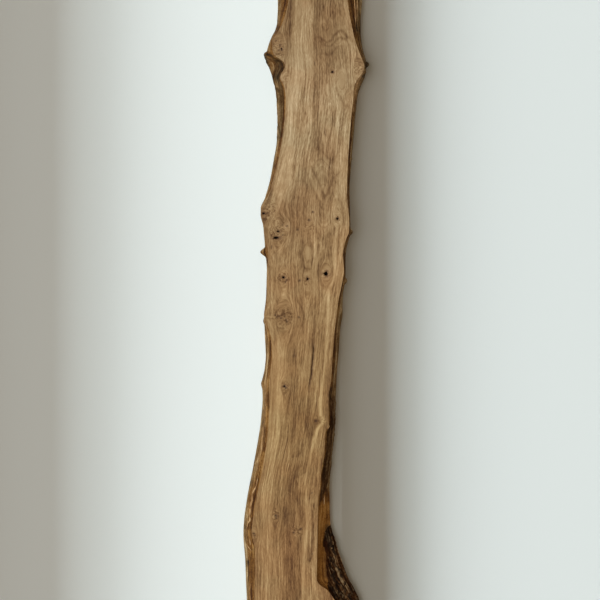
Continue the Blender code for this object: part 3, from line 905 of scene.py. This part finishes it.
def face_height(along, across, depth):
    """Height of the sawn face, with its hollows and the slight ripple of dried wood."""
    share = np.linspace(0.0, 1.0, FACE_COLUMNS + 1)[None, :]
    ripple = FACE_RIPPLE * (1 + noise_at(across / 11, along / 90, 2.0))
    return THICKNESS - depth - ripple * ease(0.0, 0.03, np.minimum(share, 1 - share))


face_z = face_height(face_along, face_across, hollow_depth)
back_x = between(right_x[:, -1], left_x[:, -1], BACK_COLUMNS)
ring_x = np.hstack([face_across, right_x[:, 1:], back_x, left_x[:, :0:-1]])
ring_z = np.hstack([face_z, right_z[:, 1:], np.zeros_like(back_x), left_z[:, :0:-1]])
ring_along = np.broadcast_to(rows[:, None], ring_x.shape).copy()
ring_along[:, : FACE_COLUMNS + 1] = face_along
columns = ring_x.shape[1]
right_columns = slice(FACE_COLUMNS + 1, FACE_COLUMNS + right_x.shape[1])
left_columns = slice(columns - left_x.shape[1] + 1, columns)
print(ring_x.shape[0], "rings of", columns, "points")


# %% Masks on every point
RUGGED_BARK_ENDS = (290, 330)  # each is a stretch along over which something fades
BARE_SKIN_ENDS = (370, 400)
CREST_WEARS = (90, 230)
FLAKES_START = (14, 34)


def on_wanes(left_values, right_values):
    """An array for the whole skin from values on the two wanes, 0 elsewhere."""
    whole = np.zeros_like(ring_x)
    whole[:, right_columns] = right_values[:, 1:]
    whole[:, left_columns] = left_values[:, :0:-1]
    return whole


def on_face(values):
    """An array for the whole skin from values on the sawn face, 0 elsewhere."""
    whole = np.zeros_like(ring_x)
    whole[:, : FACE_COLUMNS + 1] = values
    return whole


def girth_of(x, z):
    """Distance round the wane from the arris, in millimetres."""
    steps = np.hypot(np.diff(x, axis=1), np.diff(z, axis=1))
    return np.hstack([np.zeros_like(x[:, :1]), np.cumsum(steps, axis=1)])


def rim_of(x, z):
    """Distance round the wane from its widest line, in millimetres."""
    girth = girth_of(x, z)
    return girth[:, WANE_ROWS : WANE_ROWS + 1] - girth


flow = flow_line(ring_along, ring_x)
waney = on_wanes(np.ones_like(left_x), np.ones_like(right_x))
no_left, row_column = np.zeros_like(left_x), rows[:, None]
right_bark = bark_cover(RIGHT, row_column, right_share)
lower_bark = smooth_curve(BARK_PATCHES[0][3])(row_column)
way_over_bark = np.clip((right_share - lower_bark) / (1 - lower_bark), 0.0, 1.0)
crest = ease(0.2, 0.5, way_over_bark) * (1 - ease(0.75, 1.0, way_over_bark))
crest = crest * (1 - 0.85 * ease(*CREST_WEARS, row_column))
off_the_end = ease(*FLAKES_START, row_column)
rugged = np.broadcast_to(1 - ease(*RUGGED_BARK_ENDS, row_column), right_x.shape)
bare = np.broadcast_to(1 - ease(*BARE_SKIN_ENDS, row_column), right_x.shape)
masks = {
    "flow": flow,
    "ring": ring_distance(ring_along, ring_x, ring_z, flow),
    "pale": np.maximum(stripe_mask(PALE_STRIPES, ring_along, ring_x),
                       line_mask(PALE_LINES, ring_along, ring_x)),
    "dark": np.maximum(stripe_mask(DARK_STRIPES, ring_along, ring_x),
                       line_mask(DARK_LINES, ring_along, ring_x)),
    "clouded": spot_mask(CLOUDED_SPOTS, ring_along, ring_x),
    "clear": spot_mask(CLEAR_SPOTS, ring_along, ring_x),
    "figured": spot_mask(FIGURED_SPOTS, ring_along, ring_x),
    "stain": spot_mask(BROWN_STAINS, ring_along, ring_x),
    "hollow": on_face(hollow_dark),
    "brown": on_face(hollow_brown),
    "girth": on_wanes(girth_of(left_x, left_z), girth_of(right_x, right_z)),
    "rim": on_wanes(rim_of(left_x, left_z), rim_of(right_x, right_z)),
    "outward": on_wanes(left_share, right_share),
    "bark": on_wanes(bark_cover(LEFT, row_column, left_share) / 2.5, right_bark / 3.5),
    "right_side": on_wanes(no_left, np.ones_like(right_x)),
    # Dark lines beside torn fibres are splits with the fibres' shadows painted in; the amber lines are
    # bare inner bark.
    "crack": np.maximum(on_wanes(fibre_splits_and_shadows(LEFT, row_column, left_x, left_share),
                                 fibre_splits_and_shadows(RIGHT, row_column, right_x, right_share)),
                        waney * line_mask(AMBER_WANE_LINES, ring_along, ring_x)),
    "pocket": np.maximum(on_wanes(pocket_cover(LEFT, row_column, left_share, 5),
                                  pocket_cover(RIGHT, row_column, right_share, 5)),
                         waney * line_mask(DARK_WANE_LINES, ring_along, ring_x)),
    "wear_and_painted_light": waney * line_mask(PALE_WANE_LINES, ring_along, ring_x),
    "flaky": on_wanes(no_left, off_the_end * rugged * crest * right_bark / 6.0),
    "crest": on_wanes(no_left, rugged * (crest - 0.9 * (1 - ease(0.1, 0.4, way_over_bark)))),
    "rugged": on_wanes(no_left, rugged),
    "bare": on_wanes(no_left, bare),
}
print("masks:", ", ".join(masks))

# %% Skin the rings
SAWN, WANEY, END = 0, 1, 2


def drawn_in(x, z):
    """One end ring, drawn in towards its middle by the chamfer."""
    middle_x, middle_z = x.mean(), THICKNESS / 2
    far = np.hypot(x - middle_x, z - middle_z)
    return x + (middle_x - x) / far * END_CHAMFER, z + (middle_z - z) / far * END_CHAMFER


def skin():
    """The plank as one closed mesh, with its masks stored on the points."""
    along = ring_along.copy()
    along[0] = np.maximum(along[0], END_CHAMFER)
    along[-1] = np.minimum(along[-1], LENGTH - END_CHAMFER)
    butt_x, butt_z = drawn_in(ring_x[0], ring_z[0])
    crown_x, crown_z = drawn_in(ring_x[-1], ring_z[-1])
    along = np.vstack([np.zeros(columns), along, np.full(columns, LENGTH)])
    across = np.vstack([butt_x, ring_x, crown_x])
    height = np.vstack([butt_z, ring_z, crown_z])
    places = to_frame(along, across, height).reshape(-1, 3)
    places = np.clip(places, np.array(cad_box[0]), np.array(cad_box[1]))

    rings = len(along)
    first = np.arange(rings - 1)[:, None] * columns + np.arange(columns)[None, :]
    beside = np.arange(rings - 1)[:, None] * columns + (np.arange(columns)[None, :] + 1) % columns
    quads = np.stack([first, beside, beside + columns, first + columns], axis=-1).reshape(-1, 4)
    butt = list(range(columns))[::-1]
    crown = list(range((rings - 1) * columns, rings * columns))
    mesh = bpy.data.meshes.new("plank_wood")
    mesh.from_pydata(places.tolist(), [], [*quads.tolist(), butt, crown])

    for name, values in masks.items():
        values = np.vstack([values[:1], values, values[-1:]])
        stored = mesh.attributes.new(name, "FLOAT", "POINT")
        stored.data.foreach_set("value", values.astype(np.float32).ravel())
    across_rows = np.gradient(ring_x, axis=0) / np.gradient(ring_along, axis=0)
    over_bark = ease(0.0, 0.5, way_over_bark) * rugged
    leaning = over_bark * np.gradient(smooth_curve(RIGHT_OUTLINE)(rows), rows)[:, None]
    across_rows[:, right_columns] = (across_rows[:, right_columns] * (1 - over_bark[:, 1:])
                                     + leaning[:, 1:])
    run = np.stack([across_rows, np.ones_like(across_rows), np.zeros_like(across_rows)], axis=-1)
    run = np.concatenate([run[:1], run, run[-1:]])
    stored = mesh.attributes.new("run", "FLOAT_VECTOR", "POINT")
    stored.data.foreach_set("vector", run.astype(np.float32).ravel())
    kinds = np.full((rings - 1, columns), SAWN)
    kinds[:, FACE_COLUMNS : FACE_COLUMNS + right_x.shape[1] - 1] = WANEY
    kinds[:, columns - left_x.shape[1] + 1 :] = WANEY
    kinds[0], kinds[-1] = END, END
    mesh.polygons.foreach_set("material_index", [*kinds.ravel().tolist(), END, END])
    return mesh


plank_mesh = skin()
plank = bpy.data.objects.new("plank_wood", plank_mesh)
bpy.context.scene.collection.objects.link(plank)
print("triangles:", sum(len(face.vertices) - 2 for face in plank_mesh.polygons))

# %% [markdown]
# ## A few words for building finishes
#
# A finish is a small graph of nodes. Each helper here adds one node to the tree that is being
# built, so that a recipe below reads like a list of steps. A `Value` is what comes out of a
# node, and it can be added and multiplied as a number can: each sign adds the node for it.
# Colours are written as they look on the board, from 0 to 255, and turned into the linear
# values that Blender works with.


# %% Nodes and sums
class Value:
    """What comes out of a node. A sum on it adds the node that does the sum."""

    tree = None

    def __init__(self, socket):
        self.socket = socket

    def __add__(self, other):
        return calc("ADD", self, other)

    def __sub__(self, other):
        return calc("SUBTRACT", self, other)

    def __rsub__(self, other):
        return calc("SUBTRACT", other, self)

    def __mul__(self, other):
        return calc("MULTIPLY", self, other)


def put(value, socket):
    """Joins a value to a socket, or sets the socket to a plain number, vector or name."""
    if isinstance(value, Value):
        Value.tree.links.new(value.socket, socket)
    else:
        socket.default_value = value


def add(kind, inputs, output=0, **settings):
    """Adds one node to the tree, sets it up, fills its inputs and returns one of its outputs."""
    made = Value.tree.nodes.new(kind)
    for name, value in settings.items():
        setattr(made, name, value)
    for socket, value in inputs.items():
        put(value, made.inputs[socket])
    return Value(made.outputs[output])


def calc(operation, *numbers):
    """One sum on one or two numbers."""
    return add("ShaderNodeMath", dict(enumerate(numbers)), operation=operation)


# %% Helpers for finishes
def colour(red, green, blue):
    """A colour as it looks on a screen, as linear RGBA."""
    screen = [channel / 255 for channel in (red, green, blue)]
    linear = [c / 12.92 if c <= 0.04045 else ((c + 0.055) / 1.055) ** 2.4 for c in screen]
    return (*linear, 1.0)


def mix(share, start, end, how="MIX"):
    """One colour laid over another by a share."""
    return add("ShaderNodeMix", {0: share, 6: start, 7: end}, 2, data_type="RGBA", blend_type=how)


def blend(share, start, end):
    """One number faded into another by a share."""
    return add("ShaderNodeMix", {0: share, 2: start, 3: end}, data_type="FLOAT")


def ramp(value, *stops, linear=False):
    """Colours along a scale from 0 to 1, each stop as its place, red, green and blue."""
    made = Value.tree.nodes.new("ShaderNodeValToRGB")
    put(value, made.inputs["Fac"])
    elements = made.color_ramp.elements
    while len(elements) < len(stops):
        elements.new(0.5)
    for element, (position, *shade) in zip(elements, stops):
        element.position = position
        element.color = (*shade, 1.0) if linear else colour(*shade)
    return Value(made.outputs["Color"])


def slide(value, low, high, at_low, at_high):
    """at_low below low, at_high above high, and a straight line between them."""
    return add("ShaderNodeMapRange", {
        "Value": value, "From Min": low, "From Max": high, "To Min": at_low, "To Max": at_high})


def step(value, low, high):
    """0 below low, 1 above high, and a smooth step between them."""
    inputs = {"Value": value, "From Min": low, "From Max": high}
    return add("ShaderNodeMapRange", inputs, interpolation_type="SMOOTHSTEP")


def stored(name):
    """A number that was stored on the mesh's points."""
    return add("ShaderNodeAttribute", {}, 2, attribute_name=name)


def millimetres():
    """The place of a point of the board, and its across, along and height, in millimetres."""
    place = add("ShaderNodeVectorMath", {0: add("ShaderNodeTexCoord", {}, 3), "Scale": 1 / MM},
                operation="SCALE")
    split = add("ShaderNodeSeparateXYZ", {0: place})
    return place, *(Value(output) for output in split.socket.node.outputs)


def streaks(line, length, line_period, length_period, seed, detail=2.0):
    """Noise drawn out along the grain: periods are in millimetres, across and along the fibres."""
    vector = add("ShaderNodeCombineXYZ", {
        "X": line * (1 / line_period), "Y": length * (1 / length_period), "Z": seed})
    return add("ShaderNodeTexNoise", {"Vector": vector, "Scale": 1.0, "Detail": detail})


def clouds(place, period, detail=2.0):
    """Noise that is alike in every direction, with its period in millimetres."""
    return add("ShaderNodeTexNoise", {"Vector": place, "Scale": 1 / period, "Detail": detail})


def around_half(*weights):
    """0.5 plus each value's distance from 0.5 times its weight."""
    total = None
    for value, weight in weights:
        away = (value - 0.5) * weight
        total = away + 0.5 if total is None else total + away
    return total


def new_finish(name):
    """An empty material, whose tree is now the one that is being built."""
    made = bpy.data.materials.new(name)
    made.use_nodes = True
    Value.tree = made.node_tree
    return made


def dress(made, shade, relief, strength, depth, roughness=0.85, specular=0.5):
    """Gives a material its colour, its relief up to a depth in metres, and its gloss."""
    bump = add("ShaderNodeBump", {"Height": relief, "Strength": strength, "Distance": depth})
    shader = made.node_tree.nodes["Principled BSDF"]
    put(shade, shader.inputs["Base Color"])
    put(bump, shader.inputs["Normal"])
    put(roughness, shader.inputs["Roughness"])
    put(specular, shader.inputs["Specular IOR Level"])
    return made


# %% [markdown]
# ## The finish of the sawn face
#
# Sawn oak is streaky at several scales at once. Broad bands and medium streaks follow the growth
# rings, and fine fibres and pores follow the flow lines. Each is noise that is drawn out along
# the grain, and together they give one tone from dark to pale. The masks then push the tone up
# in pale stripes and down in dark ones, and in the knots the streaks give way to clouds. Last,
# a tint along the board makes its upper and lower ends darker and browner.


# %% Sawn oak
TINT_ALONG = (
    (0.11, 0.66, 0.60, 0.49), (0.30, 0.66, 0.62, 0.49), (0.41, 0.64, 0.59, 0.48),
    (0.485, 0.73, 0.71, 0.63), (0.605, 0.73, 0.72, 0.68), (0.68, 0.81, 0.87, 0.91),
    (0.78, 0.83, 0.90, 0.97), (0.895, 0.69, 0.69, 0.67),
)
REDDER = (1.0, 0.94, 0.90, 1.0)
STAINED = (0.80, 0.68, 0.60, 1.0)


def sawn_oak():
    """The finish of the face that the saw left."""
    made = new_finish("sawn_oak")
    place, _across, along, _height = millimetres()
    clouded, pale, fibre = stored("clouded"), stored("pale"), stored("flow")
    curl = clouded * (clouds(place, 13.0, 1.0) - 0.5)
    swerve = curl * 26.0 + streaks(fibre, along, 15.0, 55.0, 6.6) * 5.5
    flow_at = fibre + swerve
    ring_at = stored("ring") + swerve * 0.6

    broad = streaks(ring_at, along, 15.0, 480.0, 1.7)
    medium = streaks(ring_at, along, 6.0, 180.0, 5.1)
    fine = streaks(flow_at, along, 3.4, 90.0, 8.3, 3.0)
    fleck = streaks(flow_at, along, 3.2, 20.0, 2.9)
    pores = streaks(flow_at, along, 1.2, 9.0, 4.4, 1.0)
    mottle = clouds(place, 6.5, 3.0)
    lively = slide(along, -800.0, 150.0, 0.55, 0.85)
    tone = around_half((broad, 0.6), (medium, 0.65), (fine, 1.3), (fleck, lively), (pores, 0.6))
    cloudy = around_half((mottle, 1.6), (fine, 0.9), (fleck, 0.8))
    tone = blend(clouded * 0.75, tone, cloudy)
    quiet = calc("MAXIMUM", pale, stored("figured") * 0.8)
    contrast = slide(along, -450.0, -200.0, 1.0, 0.82) * (1.0 - quiet * 0.5)
    tone = (tone - 0.5) * contrast + 0.5
    tone = blend(stored("clear") * 0.75, tone, 0.58)
    tone = tone + pale * 0.4 - stored("dark") * 0.4

    ring_count = broad * 1.2 + ring_at * (1 / 7.0)
    early = step(calc("FRACT", ring_count), 0.34, 0.0) * step(medium, 0.42, 0.58)
    ticks = step(fleck, 0.58, 0.7) * step(mottle, 0.4, 0.6)
    dots = step(clouds(place, 4.6, 1.0), 0.6, 0.68) * clouded
    tone = tone - early * 0.13 - ticks * 0.13 - dots * 0.26

    shade = ramp(tone, (0.05, 98, 67, 38), (0.28, 136, 103, 66), (0.5, 166, 133, 91),
                 (0.72, 191, 159, 116), (0.98, 225, 196, 152))
    way_up = slide(along, -1000.0, 1000.0, 0.0, 1.0)
    shade = mix(1.0, shade, ramp(way_up, *TINT_ALONG, linear=True), "MULTIPLY")
    redder = mix(1.0, shade, REDDER, "MULTIPLY")
    shade = mix(step(clouds(place, 70.0, 1.0), 0.35, 0.65), redder, shade)
    shade = mix(stored("stain") * 0.4, shade, STAINED, "MULTIPLY")
    brown = stored("brown") * step(mottle, 0.3, 0.62)
    shade = mix(brown * 0.75, shade, colour(88, 56, 32))
    # Near black inside the holes and cracks is painted shade; in the pin knots it is their dark wood.
    shade = mix(stored("hollow"), shade, colour(34, 20, 14))
    relief = around_half((fine, 1.0), (fleck, 0.7), (pores, 0.4), (medium, 0.7)) - ticks * 0.3
    return dress(made, shade, relief, 0.7, 0.0007, slide(tone, 0.0, 1.0, 0.82, 0.62), 0.3)


# %% [markdown]
# ## The finish of the waney edge
#
# The bark has mostly dropped off, and what shows is the skin under it: amber brown close to the
# arris, greyer further out, with long fibres. Near the arris its darkness is partly painted
# shade, and further out its grey is partly a painted sheen. Where the bark is on, it is nearly
# black in its furrows and has pale tan crests, rubbed by wear. Over both lie the pale rubbed
# places, which on the right wane are painted light, the pockets, and the dark lines of bare inner
# bark and of the splits beside torn fibres, with the fibres' shadows painted in.


# %% Waney edge and bark
# On the right wane the pale colour is brightened as painted light.
RIGHT_PAINTED_LIGHT = (1.55, 1.5, 1.5, 1.0)


def waney_edge():
    """The finish of the trunk's outside, bare or under bark."""
    made = new_finish("waney_edge")
    place, _across, along, _height = millimetres()
    girth, outward, right_side = stored("girth"), stored("outward"), stored("right_side")
    bare, crack = stored("bare"), stored("crack")
    fibres = streaks(girth, along, 3.0, 55.0, 3.3, 3.0)
    bands = streaks(girth, along, 11.0, 160.0, 6.1)
    patches = clouds(place, 38.0)
    tone = around_half((fibres, 1.4), (bands, 1.2), (patches, 0.9), (clouds(place, 5.0, 3.0), 0.7))
    # The inner ramp, used near the arris, is dark amber: partly inner bark and partly painted shade under
    # the arris. The outer ramp is greyer and paler: partly weathered skin and partly a painted sheen where
    # the wane turns away.
    inner = ramp(tone, (0.12, 54, 30, 9), (0.4, 94, 60, 24), (0.62, 122, 84, 40), (0.9, 152, 116, 66))
    bright = ramp(tone, (0.1, 84, 46, 10), (0.5, 133, 87, 34), (0.9, 168, 122, 64))
    outer = ramp(tone, (0.12, 68, 46, 24), (0.4, 106, 82, 50), (0.62, 134, 108, 72), (0.9, 172, 148, 110))
    outer_share = outward + (bands - 0.5) * 1.6 + right_side * 0.15 - bare * 0.6 - crack * 0.8
    skin_shade = mix(step(outer_share, 0.35, 1.0), mix(bare, inner, bright), outer)

    furrow = streaks(stored("rim"), along, 5.0, 60.0, 9.4, 3.0)
    rugged = stored("rugged")
    bark_tone = around_half((furrow, 2.2), (clouds(place, 6.0, 3.0), 0.9))
    bark_tone = (bark_tone - 0.52) * blend(rugged, 0.45, 1.0) + 0.425
    smooth_bark = bark_tone + (outward - 0.5) * 0.4 + right_side * 0.2
    bark_tone = blend(rugged, smooth_bark, bark_tone + stored("crest") * 0.13)
    bark_shade = ramp(bark_tone, (0.2, 30, 12, 2), (0.46, 54, 32, 14), (0.66, 84, 58, 33),
                      (0.9, 124, 103, 74))
    bark_shade = mix(blend(right_side, 0.5, 0.0), bark_shade, outer)
    edge = around_half((patches, 1.2), (furrow, 0.8))
    cover = step(stored("bark") + edge * 0.8, 0.5, 0.85)
    shade = mix(cover, skin_shade, bark_shade)

    # Pale places rubbed to bright wood; on the right wane they are brightened further as painted light.
    wear_and_painted_light = ramp(tone, (0.2, 120, 88, 52), (0.8, 188, 156, 112))
    wear_and_painted_light = mix(right_side, wear_and_painted_light, mix(1.0, wear_and_painted_light, RIGHT_PAINTED_LIGHT, "MULTIPLY"))
    shade = mix(stored("wear_and_painted_light"), shade, wear_and_painted_light)
    pocket = stored("pocket")
    shade = mix(pocket * (2.0 - pocket) * 0.92, shade, colour(26, 17, 10))
    # Dark red-brown of bare inner bark and of the splits beside torn fibres, with the fibres' shadows
    # painted in.
    shade = mix(calc("POWER", crack, 1.6) * 0.92, shade, colour(50, 22, 8))
    relief = blend(cover, tone, bark_tone * 3.0)
    return dress(made, shade, relief, 0.7, 0.0009, specular=slide(cover, 0.0, 1.0, 0.12, 0.03))


# %% [markdown]
# ## The finish of the sawn ends
#
# Across the grain the rings show as arcs round the pith, with pale rays running out from it, a
# few drying checks and a paler rim of sapwood. The pith lies below the back face, so the arcs
# are centred there.

# %% End grain
PITH_ACROSS = 15.0
RING_WIDTH = 3.1
SAPWOOD = (113.0, 125.0)


def end_grain():
    """The finish of both sawn ends."""
    made = new_finish("end_grain")
    place, across, _along, height = millimetres()
    sideways, above = across - PITH_ACROSS, height + PITH_DEPTH
    radius = calc("SQRT", sideways * sideways + above * above)
    turn = calc("ARCTAN2", above, sideways)
    blotches = clouds(place, 30.0)
    ring = calc("FRACT", (radius + blotches * 9.0) * (1 / RING_WIDTH))
    rays = streaks(turn, radius, 0.022, 60.0, 1.1)
    tone = around_half((ring, 0.45), (rays, 0.7), (clouds(place, 1.1), 0.9), (blotches, 0.8))
    tone = tone + step(radius, *SAPWOOD) * 0.16
    shade = ramp(tone, (0.1, 84, 60, 38), (0.5, 138, 108, 74), (0.9, 178, 150, 112))
    splits = streaks(turn, radius, 0.16, 400.0, 7.7, 0.0)
    check = step(calc("ABSOLUTE", splits - 0.5), 0.012, 0.004) * step(blotches, 0.5, 0.58)
    shade = mix(check, shade, colour(30, 20, 14))
    return dress(made, shade, tone - check * 2.0, 0.6, 0.0007)


# %% Put the finishes on
for finish in (sawn_oak(), waney_edge(), end_grain()):
    plank_mesh.materials.append(finish)
plank_mesh.shade_smooth()
plank_mesh.set_sharp_from_angle(angle=np.radians(42))
print("finishes:", [finish.name for finish in plank_mesh.materials])

# %% [markdown]
# ## Pieces that are scattered or follow a line
#
# Loose bark flakes and torn fibres are many small shapes that follow a rule, which is what
# Geometry Nodes are good at. A tree takes a mesh and a few named sizes, and its result is turned
# into a plain mesh, so that nothing depends on the tree afterwards.


# %% Building and running a tree
def new_tree(name, sizes):
    """A tree with a mesh and named sizes going in, and a mesh coming out."""
    tree = bpy.data.node_groups.new(name, "GeometryNodeTree")
    for size, kind in {"Mesh": "Geometry", **sizes}.items():
        tree.interface.new_socket(size, in_out="INPUT", socket_type=f"NodeSocket{kind}")
    tree.interface.new_socket("Result", in_out="OUTPUT", socket_type="NodeSocketGeometry")
    Value.tree = tree
    given = tree.nodes.new("NodeGroupInput")
    return tree, {socket.name: Value(socket) for socket in given.outputs if socket.name}


def end_tree(geometry, finish):
    """Realizes the instances, gives them their finish and sends them out."""
    real = add("GeometryNodeRealizeInstances", {"Geometry": geometry})
    coated = add("GeometryNodeSetMaterial", {"Geometry": real, "Material": finish})
    put(coated, Value.tree.nodes.new("NodeGroupOutput").inputs[0])


def pushed_about(geometry, frequency, detail, reach):
    """Moves every point a little, each in a direction of its own."""
    push = add("ShaderNodeTexNoise", {"Scale": frequency, "Detail": detail}, 1)
    push = add("ShaderNodeVectorMath", {0: push, 1: (0.5, 0.5, 0.5)}, operation="SUBTRACT")
    push = add("ShaderNodeVectorMath", {0: push, "Scale": reach}, operation="SCALE")
    return add("GeometryNodeSetPosition", {"Geometry": geometry, "Offset": push})


def kept_on_points(name, kind="FLOAT"):
    """A number or a vector that was stored on the points of the mesh that goes in."""
    return add("GeometryNodeInputNamedAttribute", {"Name": name}, data_type=kind)


def grow(name, start_mesh, tree, values):
    """Runs a tree on a mesh and keeps the result as a plain mesh object inside the plank's box."""
    piece = bpy.data.objects.new(name, start_mesh)
    bpy.context.scene.collection.objects.link(piece)
    modifier = piece.modifiers.new(tree.name, "NODES")
    modifier.node_group = tree
    for item in tree.interface.items_tree:
        if item.in_out == "INPUT" and item.name in values:
            modifier[item.identifier] = values[item.name]
    shown = piece.evaluated_get(bpy.context.evaluated_depsgraph_get())
    made = bpy.data.meshes.new_from_object(shown)
    made.name = name
    piece.modifiers.remove(modifier)
    piece.data = made
    places = np.empty(len(made.vertices) * 3)
    made.vertices.foreach_get("co", places)
    places = np.clip(places.reshape(-1, 3), np.array(cad_box[0]), np.array(cad_box[1]))
    made.vertices.foreach_set("co", places.ravel())
    made.update()
    print(name, "has", len(made.polygons), "faces")
    return piece


# %% [markdown]
# ## Bark flakes
#
# Oak bark breaks into long plates, and the weather bleaches their crests. The skin's own relief
# gives the furrows, and loose plates are scattered over it where the bark is thick. Each one is
# a flattened ball of forty faces, laid along the trunk, tipped a little, and made uneven by
# noise after it is in place, so that no two are the same.


# %% The bark flakes' finish
def flake_bark():
    """Dark bark, bleached at its crests."""
    made = new_finish("flake_bark")
    place, across, along, _height = millimetres()
    grain = streaks(across, along, 2.4, 16.0, 5.0, 3.0)
    tone = around_half((grain, 1.3), (clouds(place, 26.0), 1.9))
    shade = ramp(tone, (0.2, 20, 10, 4), (0.48, 36, 23, 12), (0.68, 60, 43, 26), (0.92, 100, 83, 60))
    return dress(made, shade, tone, 0.7, 0.0006, 0.88, 0.06)


# %% The tree that scatters flakes
def flake_tree():
    """Scatters flattened balls over the thick bark and roughens them."""
    tree, given = new_tree("scatter_bark_flakes", {
        "Spacing": "Float", "Flake length": "Float", "Flake width": "Float",
        "Flake thickness": "Float", "Seed": "Int", "Finish": "Material"})
    points = add("GeometryNodeDistributePointsOnFaces", {
        "Mesh": given["Mesh"], "Distance Min": given["Spacing"], "Density Max": 60000.0,
        "Density Factor": kept_on_points("flaky"), "Seed": given["Seed"]}, distribute_method="POISSON")
    outwards = Value(points.socket.node.outputs["Rotation"])
    run = kept_on_points("run", "FLOAT_VECTOR")
    along_trunk = add("FunctionNodeAlignRotationToVector", {"Rotation": outwards, "Vector": run},
                      axis="Y", pivot_axis="Z")
    tilt = add("FunctionNodeRandomValue", {
        0: (-0.22, -0.25, -0.3), 1: (0.22, 0.25, 0.3), "Seed": given["Seed"]}, data_type="FLOAT_VECTOR")
    tilt = add("FunctionNodeEulerToRotation", {0: tilt})
    turned = add("FunctionNodeRotateRotation", {0: along_trunk, 1: tilt}, rotation_space="LOCAL")
    sizes = add("ShaderNodeCombineXYZ", {
        0: given["Flake width"], 1: given["Flake length"], 2: given["Flake thickness"]})
    vary = add("FunctionNodeRandomValue", {
        0: (0.5, 0.4, 0.6), 1: (1.5, 1.6, 1.3), "Seed": 7}, data_type="FLOAT_VECTOR")
    scale = add("ShaderNodeVectorMath", {0: sizes, 1: vary}, operation="MULTIPLY")
    ball = add("GeometryNodeMeshUVSphere", {"Segments": 8, "Rings": 5, "Radius": 0.5})
    flakes = add("GeometryNodeInstanceOnPoints", {
        "Points": points, "Instance": ball, "Rotation": turned, "Scale": scale})
    real = add("GeometryNodeRealizeInstances", {"Geometry": flakes})
    rough = pushed_about(real, 260.0, 1.0, 0.005)
    flat = add("GeometryNodeSetShadeSmooth", {"Geometry": rough, "Shade Smooth": False})
    end_tree(flat, given["Finish"])
    return tree


flakes = grow("bark_flakes", plank_mesh, flake_tree(), {
    "Spacing": 11.0 * MM, "Flake length": 32.0 * MM, "Flake width": 7.0 * MM,
    "Flake thickness": 3.0 * MM, "Seed": 5, "Finish": flake_bark()})

# %% [markdown]
# ## Torn fibres
#
# Along the left edge a long strip of the inner bark has torn loose, and shorter slivers stand
# beside it and on the other wane. Each one is a line that runs along the wane a little above
# it. The tree sweeps a small profile along the line, thick in the middle and thin at both ends.

# %% Thin lines a little above the wane
FIBRE_POINT_STEP = 4.0


def wane_place(side, along, share, lift):
    """A place on a wane, lifted outwards by a few millimetres."""
    xs, zs = (left_x, left_z) if side == LEFT else (right_x, right_z)
    row = np.abs(rows - along).argmin()
    ruler = np.linspace(0.0, 1.0, WANE_ROWS + 1)
    x = np.interp(share, ruler, xs[row, : WANE_ROWS + 1])
    z = np.interp(share, ruler, zs[row, : WANE_ROWS + 1])
    return to_frame(along, x + side * lift * 0.7, z + lift * 0.7)


def fibre_lines():
    """All torn fibres as thin lines, with half their thickness stored on the points."""
    places, edges, thick = [], [], []
    for side, half_thickness, lift, points in TORN_FIBRES:
        points = sorted(points)
        places_along = np.arange(points[0][0], points[-1][0], FIBRE_POINT_STEP)
        first = len(places)
        for along, share in zip(places_along, smooth_curve(points)(places_along)):
            places.append(tuple(wane_place(side, along, share, lift)))
            thick.append(half_thickness * MM)
        edges += [(i, i + 1) for i in range(first, len(places) - 1)]
    mesh = bpy.data.meshes.new("fibre_lines")
    mesh.from_pydata(places, edges, [])
    mesh.attributes.new("thick", "FLOAT", "POINT").data.foreach_set("value", thick)
    return mesh


# %% The tree that sweeps fibres
def fibre_tree():
    """Sweeps a small ragged profile along each line."""
    tree, given = new_tree("sweep_torn_fibres", {
        "Step": "Float", "Wander": "Float", "Finish": "Material"})
    lines = add("GeometryNodeMeshToCurve", {"Mesh": given["Mesh"]})
    lines = add("GeometryNodeResampleCurve", {"Curve": lines, "Length": given["Step"]}, mode="LENGTH")
    lines = pushed_about(lines, 70.0, 2.0, given["Wander"])
    run = add("GeometryNodeSplineParameter", {})
    swell = calc("POWER", calc("MAXIMUM", calc("SINE", run * np.pi), 0.02), 0.5)
    ragged = add("ShaderNodeTexNoise", {"Scale": 120.0, "Detail": 2.0}) + 0.45
    profile = add("GeometryNodeCurvePrimitiveCircle", {"Resolution": 6, "Radius": 1.0})
    swept = add("GeometryNodeCurveToMesh", {
        "Curve": lines, "Profile Curve": profile, "Fill Caps": True,
        "Scale": swell * kept_on_points("thick") * ragged})
    end_tree(swept, given["Finish"])
    return tree


def fibre_wood():
    """Pale inner bark."""
    made = new_finish("fibre_wood")
    place, across, along, _height = millimetres()
    grain = streaks(across, along, 1.4, 22.0, 3.0, 3.0)
    tone = around_half((grain, 1.4), (clouds(place, 22.0), 1.4))
    shade = ramp(tone, (0.2, 114, 78, 42), (0.5, 162, 122, 78), (0.85, 198, 164, 118))
    return dress(made, shade, tone, 0.6, 0.0004, specular=0.25)


fibres = grow("torn_fibres", fibre_lines(), fibre_tree(), {
    "Step": 3.0 * MM, "Wander": 1.6 * MM, "Finish": fibre_wood()})

# %% [markdown]
# ## Hand the pieces over
#
# The fine plank stands for the imported one and moves with it.

# %% Ride and replace
for piece in (plank, flakes, fibres):
    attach(piece, "root")
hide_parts("oak_plank")
